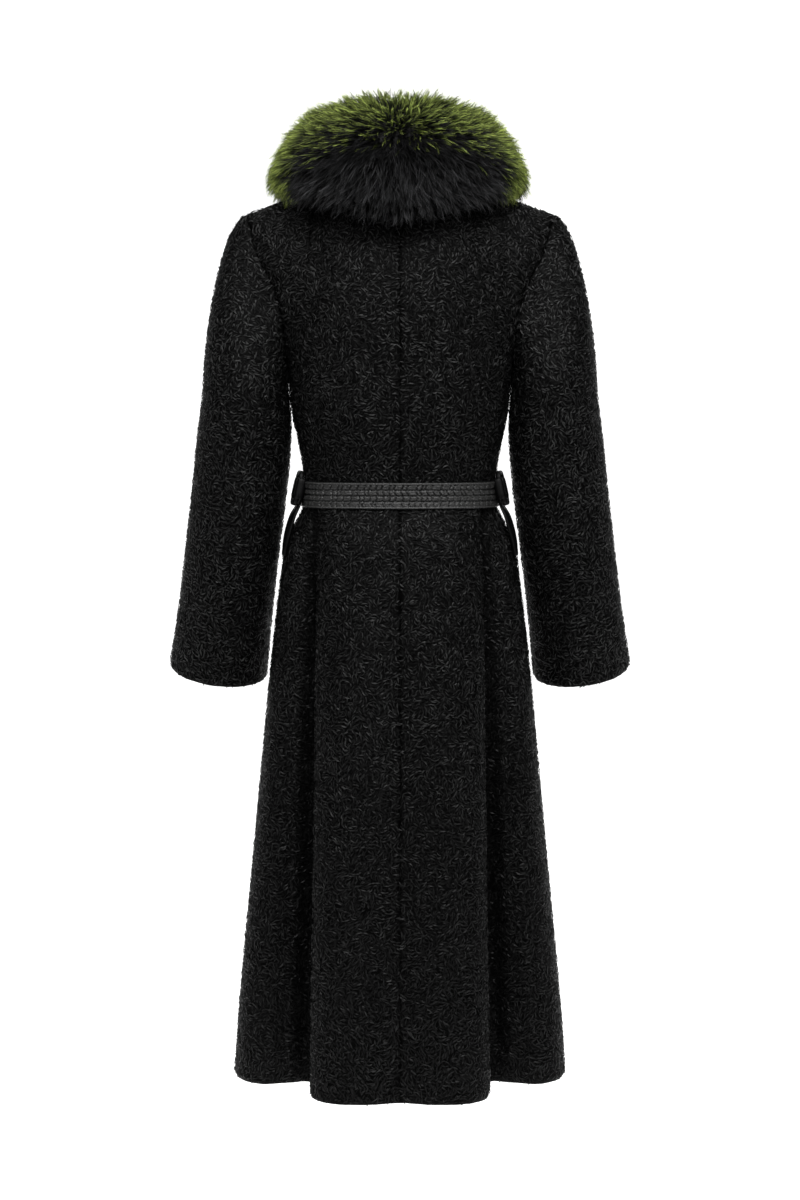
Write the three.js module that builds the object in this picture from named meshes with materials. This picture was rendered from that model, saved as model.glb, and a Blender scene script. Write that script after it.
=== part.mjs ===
// Long fitted fur coat with a fluted skirt, a long-haired collar and a belt that runs between side rings.
// Units are millimetres. +Z is up, the coat's front faces -Y and the wearer's left is +X.
// The origin is where the wearer's shoulders hold it: on the centre line, level with the neck points.
import * as THREE from 'three';

// ---- Driving dimensions ----

const furWall = 6; // skin and curled pile together
const seamGap = 0.3;
const seamInset = 0.17; // half of the gap, with a little for edges that aren't square to it
const stepsPerFold = 2; // columns of faces between two folds of the body
const yokeRows = 8; // rows of faces between underarm and shoulder
const normalReach = 0.5; // in folds, to each side of the place whose normal is wanted
const placeGap = 0.06; // in folds, between pieces that meet end to end on the body

// Bodice rings, seen from above: half of the width, and the depth behind and in front of the side seams.
// square is the power of the oval: 2 is an ellipse, more is squarer.
const bodiceSections = [
  { level: -245, halfWidth: 144, back: 108, front: 128, square: 2.5 },
  { level: -276, halfWidth: 142, back: 107, front: 126, square: 2.5 },
  { level: -307, halfWidth: 139, back: 104, front: 121, square: 2.45 },
  { level: -330, halfWidth: 134, back: 101, front: 114, square: 2.4 },
  { level: -352, halfWidth: 129.5, back: 98, front: 107, square: 2.3 },
  { level: -372, halfWidth: 126, back: 95, front: 101, square: 2.25 },
  { level: -390, halfWidth: 124.5, back: 93.5, front: 98.5, square: 2.2 },
  { level: -407, halfWidth: 124, back: 93, front: 98, square: 2.2 },
];
const waist = bodiceSections[bodiceSections.length - 1];

// Skirt rings: flare is the share of the way from the waist's oval to the hem's folds.
const skirtSections = [
  { level: -424, flare: 0.02 },
  { level: -440, flare: 0.105 },
  { level: -456, flare: 0.2 },
  { level: -474, flare: 0.28 },
  { level: -500, flare: 0.315 },
  { level: -550, flare: 0.385 },
  { level: -610, flare: 0.46 },
  { level: -700, flare: 0.555 },
  { level: -800, flare: 0.655 },
  { level: -900, flare: 0.755 },
  { level: -1000, flare: 0.855 },
  { level: -1090, flare: 0.94 },
  { level: -1172, flare: 1 },
];

// Folds of one half, from the centre back round to the centre front.
// angle is the place on the waist's oval, in degrees from the centre back. x and y are the place at the hem.
const folds = [
  { name: 'centreBack', angle: 0, x: 0, y: 157 },
  { name: 'backCrest', angle: 17, x: 40, y: 166 },
  { name: 'backShoulder', angle: 34, x: 84, y: 162 },
  { name: 'backEdge', angle: 48, x: 111, y: 138 },
  { name: 'backWall', angle: 57, x: 117, y: 98 },
  { name: 'backValley', angle: 65, x: 125, y: 62 },
  { name: 'sideBackRise', angle: 73, x: 147, y: 58 },
  { name: 'sideBackCrest', angle: 80, x: 178, y: 64 },
  { name: 'sideBackEdge', angle: 87, x: 207, y: 42 },
  { name: 'side', angle: 95, x: 219, y: -2 },
  { name: 'sideFrontEdge', angle: 104, x: 207, y: -46 },
  { name: 'sideFrontCrest', angle: 114, x: 180, y: -74 },
  { name: 'frontValley', angle: 126, x: 147, y: -88 },
  { name: 'frontWall', angle: 138, x: 119, y: -120 },
  { name: 'frontEdge', angle: 151, x: 86, y: -149 },
  { name: 'frontFlat', angle: 166, x: 42, y: -158 },
  { name: 'centreFront', angle: 180, x: 0, y: -156 },
];
const foldPlace = Object.fromEntries(folds.map((fold, place) => [fold.name, place]));
const centreFront = foldPlace.centreFront;
const sideSeam = foldPlace.side;
const sideBackSeam = foldPlace.backWall;
const sideFrontSeam = foldPlace.frontValley;
const wholeRing = 2 * centreFront;

// Neck and shoulder.
const neckPoint = new THREE.Vector3(70, 2, 0);
const shoulderTip = new THREE.Vector3(199, 0, -46);
const backNeckDepth = 62;
const backNeckDrop = -2;
const frontNeckDepth = 76;
const frontNeckDrop = 70;
const backNeckPlace = 3; // the fold's place whose column ends at the neck point, behind
const frontNeckPlace = 13; // and in front

// Centre lines of the bodice above the underarm, from low to high.
const centreBackLine = [
  { y: 108, level: -245 },
  { y: 112, level: -190 },
  { y: 110, level: -130 },
  { y: 98, level: -65 },
  { y: 81, level: -22 },
  { y: backNeckDepth, level: -backNeckDrop },
];
const centreFrontLine = [
  { y: -128, level: -245 },
  { y: -127, level: -195 },
  { y: -116, level: -145 },
  { y: -98, level: -105 },
  { y: -frontNeckDepth, level: -frontNeckDrop },
];

// Armhole edges from the underarm up to the shoulder tip.
const backArmhole = [
  { x: 144, y: -3, level: -245 },
  { x: 146, y: 42, level: -220 },
  { x: 151, y: 58, level: -182 },
  { x: 166, y: 52, level: -136 },
  { x: 184, y: 37, level: -98 },
  { x: 194, y: 22, level: -62 },
  { x: shoulderTip.x, y: shoulderTip.y, level: shoulderTip.z },
];
const frontArmhole = [
  { x: 144, y: -3, level: -245 },
  { x: 140, y: -48, level: -222 },
  { x: 141, y: -66, level: -184 },
  { x: 154, y: -60, level: -138 },
  { x: 177, y: -40, level: -96 },
  { x: 192, y: -24, level: -62 },
  { x: shoulderTip.x, y: shoulderTip.y, level: shoulderTip.z },
];

// Front closing: the right front laps over the left by one fold's width past the centre.
const lapPlaces = 1;
const lapGap = 1.2;
const lapStepPlaces = 0.8; // length of the step in the left front just outside the right front's edge

// Sleeve rings below the underarm: centre, half width across and half depth front to back.
const sleeveSections = [
  { x: 199.5, y: -2, level: -276, across: 56, deep: 69 },
  { x: 200.5, y: -4, level: -312, across: 59.5, deep: 67 },
  { x: 204, y: -8, level: -352, across: 61.5, deep: 65 },
  { x: 209, y: -15, level: -400, across: 61.5, deep: 63.5 },
  { x: 216, y: -26, level: -452, across: 61.5, deep: 62.5 },
  { x: 223, y: -39, level: -504, across: 61.5, deep: 62 },
  { x: 230, y: -53, level: -556, across: 62, deep: 62 },
  { x: 237, y: -68, level: -606, across: 63.5, deep: 62.5 },
  { x: 242.5, y: -79, level: -645, across: 65.5, deep: 63 },
];
const sleeveCapRows = [0, 0.12, 0.25, 0.4, 0.56, 0.74]; // shares of the way from armhole to first ring
const sleeveCapReach = 0.42; // how far the cap runs straight out, as a share of the way down
const armholeGap = 0.5;
const armholeLean = 0.1; // how far the sleeve's edge may lean towards the body

// Collar sections, by angle round the neck from the centre back. Each is a closed outline in the plane
// of its angle: neck, top, outer and drop are radii of its foot, its roll, its widest place and its lower
// edge. foot, high, mid and low are their levels.
const collarNeckCentreY = -6;
const collarSections = [
  { angle: 0, neck: 68, foot: 9, top: 106, high: 103, outer: 168, mid: 20, drop: 152, low: -64 },
  { angle: 30, neck: 67, foot: 9, top: 105, high: 101, outer: 167, mid: 18, drop: 152, low: -58 },
  { angle: 60, neck: 66, foot: 8, top: 105, high: 96, outer: 166, mid: 10, drop: 156, low: -38 },
  { angle: 90, neck: 66, foot: 8, top: 104, high: 89, outer: 169, mid: -6, drop: 160, low: -30 },
  { angle: 120, neck: 65, foot: 0, top: 100, high: 66, outer: 160, mid: -25, drop: 150, low: -62 },
  { angle: 145, neck: 64, foot: -25, top: 92, high: 34, outer: 146, mid: -49, drop: 134, low: -104 },
  { angle: 164, neck: 64, foot: -48, top: 88, high: 6, outer: 134, mid: -66, drop: 122, low: -116 },
  { angle: 175, neck: 68, foot: -58, top: 88, high: -12, outer: 122, mid: -70, drop: 112, low: -108 },
];
const collarRise = 8; // of the roll's top above its inner shoulder
const collarRound = 8; // by which the roll stands out between its top and its widest place
const collarShare = 0.62; // height of that place, as a share of the way from widest place to top
const collarHollow = 10; // by which the underside is drawn in
const collarColumns = 18; // points round one section
const collarStations = 9; // degrees between built sections, about
const collarClearance = 6.5; // between the collar's underside and the coat

// Belt, rings, rivets and tails.
const beltGap = 0.4;
const beltThickness = 3.4;
const beltTop = -390;
const beltBottom = -424;
const ringAngleOffset = 7.2; // place of the ring's centre, counted in folds from the centre back
const ringWidth = 34;
const ringHeight = 46;
const ringBar = 6.5;
const ringDepth = 6.5;
const ringCorner = 9;
const ringInnerCorner = 4;
const ringCentreLevel = -400;
const ringStandOff = 6.9; // from the coat to the middle of the ring's inner face
const ringTilt = 0.17; // radians, foot outwards
const rivetRadius = 2.4;
const rivetTopRadius = 1.7;
const rivetHeight = 1.6;
const rivetPlace = 6.75; // counted in folds
const rivetDrop = 6; // below the belt's top edge
const rivetLift = 0.9; // off the belt
const tailPlace = 7.35; // of the tail's middle, counted in folds
const tailWidth = 30;
const tailThickness = 3;
const tailSteps = 4; // columns of faces across
const tailSections = [
  { level: -411, offset: 4.4 },
  { level: -424, offset: 4.6 },
  { level: -440, offset: 4.4 },
  { level: -456, offset: 2 },
  { level: -474, offset: 1 },
  { level: -487, offset: 1 },
];

// ---- Materials ----

const curledFur = { color: 0x121212, roughness: 0.85, metalness: 0 };
const longFur = { color: 0x3f5222, roughness: 0.9, metalness: 0 };
const embossedLeather = { color: 0x262626, roughness: 0.45, metalness: 0 };
const plainLeather = { color: 0x1a1a1a, roughness: 0.5, metalness: 0 };
const rivetMetal = { color: 0x8a8a86, roughness: 0.3, metalness: 1 };

// ---- The body's surface ----

// Point of an oval ring at an angle in radians from the centre back.
function ovalPoint(section, angle, level) {
  const power = 2 / section.square;
  const across = Math.sin(angle);
  const along = Math.cos(angle);
  const depth = along >= 0 ? section.back : section.front;
  return new THREE.Vector3(
    section.halfWidth * Math.sign(across) * Math.abs(across) ** power,
    depth * Math.sign(along) * Math.abs(along) ** power,
    level,
  );
}

// Closed smooth curve through one ring's fold points. Both halves are alike.
function ringCurve(section) {
  const isSkirt = section.flare !== undefined;
  const half = folds.map((fold) => {
    const angle = THREE.MathUtils.degToRad(fold.angle);
    const point = ovalPoint(isSkirt ? waist : section, angle, section.level);
    const hem = new THREE.Vector3(fold.x, fold.y, section.level);
    return isSkirt ? point.lerp(hem, section.flare) : point;
  });
  const otherHalf = half.slice(1, -1).reverse().map((point) => new THREE.Vector3(-point.x, point.y, point.z));
  return new THREE.CatmullRomCurve3([...half, ...otherHalf], true, 'centripetal');
}

const ringLevels = [...bodiceSections, ...skirtSections].sort((a, b) => a.level - b.level);
const ringCurves = ringLevels.map(ringCurve);
const underarmRow = ringLevels.length - 1;
const topRow = underarmRow + yokeRows;

// Smooth line through a short table of points.
function lineThrough(table) {
  return new THREE.CatmullRomCurve3(table.map((row) => new THREE.Vector3(row.x ?? 0, row.y, row.level)));
}

const yokeSides = {
  back: {
    centre: lineThrough(centreBackLine),
    armhole: lineThrough(backArmhole),
    centrePlace: 0,
    neckPlace: backNeckPlace,
    neck: new THREE.Vector3(0, backNeckDepth, -backNeckDrop),
    seamShift: seamGap / 2,
  },
  front: {
    centre: lineThrough(centreFrontLine),
    armhole: lineThrough(frontArmhole),
    centrePlace: centreFront,
    neckPlace: frontNeckPlace,
    neck: new THREE.Vector3(0, -frontNeckDepth, -frontNeckDrop),
    seamShift: -seamGap / 2,
  },
};

// Upper edge of a yoke side: a quarter oval along the neckline, then straight along the shoulder seam.
function yokeTop(side, place) {
  const neckSpan = (place - side.centrePlace) / (side.neckPlace - side.centrePlace);
  const shift = new THREE.Vector3(0, side.seamShift, 0);
  if (neckSpan >= 1) {
    const share = (place - side.neckPlace) / (sideSeam - side.neckPlace);
    return neckPoint.clone().lerp(shoulderTip, share).add(shift);
  }
  const angle = (neckSpan * Math.PI) / 2;
  return new THREE.Vector3(
    neckPoint.x * Math.sin(angle),
    THREE.MathUtils.lerp(neckPoint.y, side.neck.y, Math.cos(angle)),
    THREE.MathUtils.lerp(neckPoint.z, side.neck.z, Math.cos(angle) ** 1.5),
  ).add(shift);
}

// Yoke surface between the underarm ring and the upper edge, guided by the centre line and the armhole.
// rise runs from 0 to 1. Level follows a sine and the rest a cosine, so it leaves the ring upright and
// comes over the shoulder flat.
function yokePoint(side, place, rise) {
  const low = ringCurves[underarmRow].getPoint(place / wholeRing);
  const high = yokeTop(side, place);
  const centre = side.centre.getPoint(rise);
  const armhole = side.armhole.getPoint(rise);
  const across = (place - side.centrePlace) / (sideSeam - side.centrePlace);
  const blend = (from, to, axis) => {
    const share = axis === 'z' ? Math.sin((rise * Math.PI) / 2) : 1 - Math.cos((rise * Math.PI) / 2);
    return THREE.MathUtils.lerp(from[axis], to[axis], share);
  };
  const point = new THREE.Vector3();
  for (const axis of ['x', 'y', 'z']) {
    const atCentre = centre[axis] - blend(side.centre.getPoint(0), side.centre.getPoint(1), axis);
    const atArmhole = armhole[axis] - blend(side.armhole.getPoint(0), side.armhole.getPoint(1), axis);
    point[axis] = blend(low, high, axis) + (1 - across) ** 2 * atCentre + across ** 2 * atArmhole;
  }
  return point;
}

// Any point of the coat's outer surface. place counts folds from the centre back towards the wearer's
// left and may pass the centre front. row counts rings from the hem up.
function bodyPoint(sideName, place, row) {
  if (row <= underarmRow) {
    return ringCurves[row].getPoint((((place / wholeRing) % 1) + 1) % 1);
  }
  const rise = (row - underarmRow) / yokeRows;
  const isPast = place > centreFront;
  const point = yokePoint(yokeSides[sideName], isPast ? wholeRing - place : Math.abs(place), rise);
  if (isPast || place < 0) {
    point.x = -point.x;
  }
  return point;
}

// Outward normal of that surface. Above the underarm, the armhole limits both sides.
function bodyNormal(sideName, place, row) {
  let from = place - normalReach;
  let to = place + normalReach;
  if (row > underarmRow && sideName === 'back') {
    to = Math.min(to, sideSeam);
    from = Math.max(from, -sideSeam);
  }
  if (row > underarmRow && sideName === 'front') {
    from = Math.max(from, sideSeam);
  }
  const along = bodyPoint(sideName, to, row).sub(bodyPoint(sideName, from, row));
  const below = Math.max(row - 1, 0);
  const above = Math.min(row + 1, topRow);
  const up = bodyPoint(sideName, place, above).sub(bodyPoint(sideName, place, below));
  const normal = up.cross(along).normalize();
  const isOnShoulder = row === topRow && Math.abs(place) >= backNeckPlace && place <= frontNeckPlace;
  if (isOnShoulder) {
    normal.y = 0;
    normal.normalize();
  }
  return normal;
}

// ---- Solids ----

// Turns faces round if their signed volume is negative, and wraps them up as a geometry.
function closedGeometry(points, faces) {
  let volume = 0;
  for (const [a, b, c] of faces) {
    volume += points[a].dot(points[b].clone().cross(points[c]));
  }
  const turned = volume < 0 ? faces.map(([a, b, c]) => [a, c, b]) : faces;
  const geometry = new THREE.BufferGeometry().setFromPoints(points);
  geometry.setIndex(turned.flat());
  geometry.computeVertexNormals();
  return geometry;
}

// Closed wall between an outer and an inner grid of the same size, open or joined round its columns.
function wallGeometry(outer, inner, isRound) {
  const rows = outer.length;
  const columns = outer[0].length;
  const points = [...outer.flat(), ...inner.flat()];
  const out = (row, column) => row * columns + (column % columns);
  const into = (row, column) => rows * columns + out(row, column);
  const faces = [];
  const quad = (a, b, c, d) => faces.push([a, b, c], [a, c, d]);
  const spans = isRound ? columns : columns - 1;
  for (let column = 0; column < spans; column += 1) {
    for (let row = 0; row < rows - 1; row += 1) {
      quad(out(row, column), out(row + 1, column), out(row + 1, column + 1), out(row, column + 1));
      quad(into(row, column), into(row, column + 1), into(row + 1, column + 1), into(row + 1, column));
    }
    const last = rows - 1;
    quad(out(0, column), out(0, column + 1), into(0, column + 1), into(0, column));
    quad(out(last, column), into(last, column), into(last, column + 1), out(last, column + 1));
  }
  if (!isRound) {
    for (let row = 0; row < rows - 1; row += 1) {
      const end = columns - 1;
      quad(out(row, 0), into(row, 0), into(row + 1, 0), out(row + 1, 0));
      quad(out(row, end), out(row + 1, end), into(row + 1, end), into(row, end));
    }
  }
  return closedGeometry(points, faces);
}

// Closed body through a row of closed outlines, with a flat fan over each end.
function loftGeometry(outlines) {
  const columns = outlines[0].length;
  const points = outlines.flat();
  const faces = [];
  for (let station = 0; station < outlines.length - 1; station += 1) {
    for (let column = 0; column < columns; column += 1) {
      const next = (column + 1) % columns;
      const a = station * columns + column;
      const b = station * columns + next;
      faces.push([a, b, b + columns], [a, b + columns, a + columns]);
    }
  }
  const middle = (outline) => {
    const sum = outline.reduce((total, point) => total.add(point), new THREE.Vector3());
    return sum.divideScalar(columns);
  };
  const start = points.push(middle(outlines[0])) - 1;
  const end = points.push(middle(outlines[outlines.length - 1])) - 1;
  const lastOutline = (outlines.length - 1) * columns;
  for (let column = 0; column < columns; column += 1) {
    const next = (column + 1) % columns;
    faces.push([start, next, column]);
    faces.push([end, lastOutline + column, lastOutline + next]);
  }
  return closedGeometry(points, faces);
}

function mirrored(grid) {
  return grid.map((line) => line.map((point) => new THREE.Vector3(-point.x, point.y, point.z)));
}

// Moves the outermost columns in by half of the seam gap.
function insetSeams(grid) {
  for (const line of grid) {
    for (const [edge, next] of [[0, 1], [line.length - 1, line.length - 2]]) {
      const step = line[next].clone().sub(line[edge]);
      line[edge].add(step.setLength(seamInset));
    }
  }
  return grid;
}

const coat = new THREE.Group();

function addPiece(name, geometry, finish) {
  const mesh = new THREE.Mesh(geometry, new THREE.MeshStandardMaterial(finish));
  mesh.name = name;
  coat.add(mesh);
  return mesh;
}

// ---- Body panels ----

// Depth by which the left front passes under the right front's lap, from 0 to its whole.
function lapDepth(place) {
  const edge = centreFront - lapPlaces - placeGap;
  const share = THREE.MathUtils.smoothstep(place, edge - lapStepPlaces, edge);
  return share * (furWall + lapGap);
}

// Outer and inner grid of one panel between two places, with an optional lap.
function panelGrids(sideName, from, to, isUnderLap) {
  const outer = [];
  const inner = [];
  for (let row = 0; row <= topRow; row += 1) {
    const outerLine = [];
    const innerLine = [];
    for (let step = 0; step <= (to - from) * stepsPerFold; step += 1) {
      const place = from + step / stepsPerFold;
      const normal = bodyNormal(sideName, place, row);
      const point = bodyPoint(sideName, place, row);
      point.addScaledVector(normal, isUnderLap ? -lapDepth(place) : 0);
      outerLine.push(point);
      innerLine.push(point.clone().addScaledVector(normal, -furWall));
    }
    outer.push(outerLine);
    inner.push(innerLine);
  }
  return [insetSeams(outer), insetSeams(inner)];
}

const panels = [
  { name: 'back', side: 'back', from: 0, to: sideBackSeam },
  { name: 'side_back', side: 'back', from: sideBackSeam, to: sideSeam },
  { name: 'side_front', side: 'front', from: sideSeam, to: sideFrontSeam },
  { name: 'front', side: 'front', from: sideFrontSeam, to: centreFront + lapPlaces },
];
const panelMeshes = [];
for (const panel of panels) {
  for (const hand of ['left', 'right']) {
    const isUnderLap = panel.name === 'front' && hand === 'left';
    const grids = panelGrids(panel.side, panel.from, panel.to, isUnderLap);
    const [outer, inner] = hand === 'left' ? grids : grids.map(mirrored);
    panelMeshes.push(addPiece(`${panel.name}_${hand}`, wallGeometry(outer, inner, false), curledFur));
  }
}

// ---- Sleeves ----

const sleeveColumns = 2 * yokeRows;

// Row of the yoke and side that a sleeve column starts from: up the back, then down the front.
function armholeColumn(column) {
  const isBack = column <= yokeRows;
  return { side: isBack ? 'back' : 'front', row: underarmRow + (isBack ? column : sleeveColumns - column) };
}

// Ring of a sleeve section, square to the sleeve's axis there.
function sleeveRing(index) {
  const centreOf = (section) => new THREE.Vector3(section.x, section.y, section.level);
  const section = sleeveSections[index];
  const above = centreOf(sleeveSections[Math.max(index - 1, 0)]);
  const below = centreOf(sleeveSections[Math.min(index + 1, sleeveSections.length - 1)]);
  const axis = below.sub(above).normalize();
  const acrossAxis = new THREE.Vector3(1, 0, 0).addScaledVector(axis, -axis.x).normalize();
  const deepAxis = new THREE.Vector3().crossVectors(acrossAxis, axis).normalize();
  const ring = [];
  for (let column = 0; column < sleeveColumns; column += 1) {
    const angle = Math.PI * (1 - column / yokeRows);
    const point = centreOf(section);
    point.addScaledVector(acrossAxis, section.across * Math.cos(angle));
    point.addScaledVector(deepAxis, section.deep * Math.sin(angle));
    ring.push(point);
  }
  return { ring, axis };
}

// Cap point on a smooth curve that leaves the armhole outwards and arrives along the sleeve.
function capPoint(start, end, axis, column, share) {
  const topness = (1 - Math.cos((2 * Math.PI * column) / sleeveColumns)) / 2;
  const reach = start.distanceTo(end);
  const leave = new THREE.Vector3(0, 0, -1).lerp(new THREE.Vector3(1, 0, -0.2), topness).normalize();
  leave.multiplyScalar(reach * THREE.MathUtils.lerp(1, sleeveCapReach, topness));
  const arrive = axis.clone().multiplyScalar(reach);
  const squared = share * share;
  const cubed = squared * share;
  return new THREE.Vector3()
    .addScaledVector(start, 2 * cubed - 3 * squared + 1)
    .addScaledVector(leave, cubed - 2 * squared + share)
    .addScaledVector(end, 3 * squared - 2 * cubed)
    .addScaledVector(arrive, cubed - squared);
}

function sleeveGrids() {
  const first = sleeveRing(0);
  const rows = sleeveSections.map((_, index) => sleeveRing(index).ring).reverse();
  for (const share of [...sleeveCapRows].reverse()) {
    const line = [];
    for (let column = 0; column < sleeveColumns; column += 1) {
      const { side, row } = armholeColumn(column);
      const start = bodyPoint(side, sideSeam, row).add(new THREE.Vector3(armholeGap, 0, 0));
      start.y -= row === topRow ? yokeSides[side].seamShift : 0;
      line.push(capPoint(start, first.ring[column], first.axis, column, share));
    }
    rows.push(line);
  }
  const inner = rows.map((line, row) => line.map((point, column) => {
    const next = line[(column + 1) % sleeveColumns];
    const last = line[(column + sleeveColumns - 1) % sleeveColumns];
    const above = rows[Math.min(row + 1, rows.length - 1)][column];
    const below = rows[Math.max(row - 1, 0)][column];
    const normal = above.clone().sub(below).cross(next.clone().sub(last)).normalize();
    if (row === rows.length - 1) {
      normal.x = Math.min(normal.x, armholeLean);
      normal.normalize();
    }
    return point.clone().addScaledVector(normal, -furWall);
  }));
  return [rows, inner];
}

for (const hand of ['left', 'right']) {
  const grids = sleeveGrids();
  const [outer, inner] = hand === 'left' ? grids : grids.map(mirrored);
  addPiece(`sleeve_${hand}`, wallGeometry(outer, inner, true), curledFur);
}

// ---- Collar ----

// Value of one column of the collar's table at an angle, eased between rows.
function collarValue(column, angle) {
  const size = Math.abs(angle);
  const last = collarSections.length - 1;
  const above = Math.min(Math.max(collarSections.findIndex((row) => row.angle >= size), 1), last);
  const low = collarSections[above - 1];
  const high = collarSections[above];
  return THREE.MathUtils.lerp(low[column], high[column], (size - low.angle) / (high.angle - low.angle));
}

// Level of the coat's upper surface straight below or above a point of the collar. Both halves are alike,
// so it is read on the right one.
function coatLevelUnder(point) {
  const skyward = new THREE.Vector3(-Math.abs(point.x), point.y, collarSections[0].high);
  const hits = new THREE.Raycaster(skyward, new THREE.Vector3(0, 0, -1)).intersectObjects(panelMeshes);
  return hits.length > 0 ? hits[0].point.z : -Infinity;
}

// Outline of the collar in the plane of an angle: radius from the neck's centre, and level.
function collarOutline(angle) {
  const value = (column) => collarValue(column, angle);
  const [neck, foot, top, high] = ['neck', 'foot', 'top', 'high'].map(value);
  const [outer, mid, drop, low] = ['outer', 'mid', 'drop', 'low'].map(value);
  const rim = [
    { radius: neck, level: foot },
    { radius: neck + 2, level: (foot + high) / 2 },
    { radius: (neck + top) / 2 - collarRise / 2, level: high - collarRise },
    { radius: top + collarRise / 2, level: high },
    { radius: (top + outer) / 2 + collarRound, level: THREE.MathUtils.lerp(mid, high, collarShare) },
    { radius: outer, level: mid },
    { radius: drop + collarRound, level: (mid + low - collarRound) / 2 },
    { radius: drop - 1.5 * collarRound, level: low },
    { radius: (neck + drop) / 2 - collarHollow, level: (foot + low) / 2 },
  ];
  const turn = THREE.MathUtils.degToRad(angle);
  const curve = new THREE.CatmullRomCurve3(rim.map((point) => new THREE.Vector3(
    point.radius * Math.sin(turn),
    collarNeckCentreY + point.radius * Math.cos(turn),
    point.level,
  )), true, 'centripetal');
  const outline = curve.getPoints(collarColumns).slice(0, -1);
  for (const point of outline) {
    point.z = Math.max(point.z, coatLevelUnder(point) + collarClearance);
  }
  return outline;
}

const collarEnd = collarSections[collarSections.length - 1].angle;
const collarSteps = 2 * Math.round(collarEnd / collarStations);
const collarOutlines = [];
for (let step = 0; step <= collarSteps; step += 1) {
  collarOutlines.push(collarOutline(collarEnd * ((2 * step) / collarSteps - 1)));
}
addPiece('collar', loftGeometry(collarOutlines), longFur);

// ---- Belt ----

const beltRowsOf = (lowest, highest) => ringLevels
  .map((ring, row) => ({ level: ring.level, row }))
  .filter(({ level }) => level >= lowest && level <= highest)
  .map(({ row }) => row);

// Strip that lies on the coat between two places, made from its points moved out.
function beltGrids(from, to) {
  const steps = Math.round((to - from) * stepsPerFold);
  const lines = (offset) => beltRowsOf(beltBottom, beltTop).map((row) => {
    const line = [];
    for (let step = 0; step <= steps; step += 1) {
      const place = from + ((to - from) * step) / steps;
      line.push(bodyPoint('back', place, row).addScaledVector(bodyNormal('back', place, row), offset));
    }
    return line;
  });
  return [lines(beltGap + beltThickness), lines(beltGap)];
}

const beltEnd = ringAngleOffset - placeGap;
const [backOuter, backInner] = beltGrids(-beltEnd, beltEnd);
addPiece('belt_back', wallGeometry(backOuter, backInner, false), embossedLeather);
const frontBeltEnd = ringAngleOffset + placeGap;
const [frontOuter, frontInner] = beltGrids(frontBeltEnd, wholeRing - frontBeltEnd);
addPiece('belt_front', wallGeometry(frontOuter, frontInner, false), plainLeather);

// ---- Side rings, rivets and tails ----

// Outline of a rounded rectangle round the origin.
function roundedFrame(target, width, height, corner) {
  const x = width / 2;
  const y = height / 2;
  target.moveTo(-x + corner, -y);
  target.lineTo(x - corner, -y);
  target.absarc(x - corner, -y + corner, corner, -Math.PI / 2, 0);
  target.lineTo(x, y - corner);
  target.absarc(x - corner, y - corner, corner, 0, Math.PI / 2);
  target.lineTo(-x + corner, y);
  target.absarc(-x + corner, y - corner, corner, Math.PI / 2, Math.PI);
  target.lineTo(-x, -y + corner);
  target.absarc(-x + corner, -y + corner, corner, Math.PI, 1.5 * Math.PI);
  return target;
}

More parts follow.
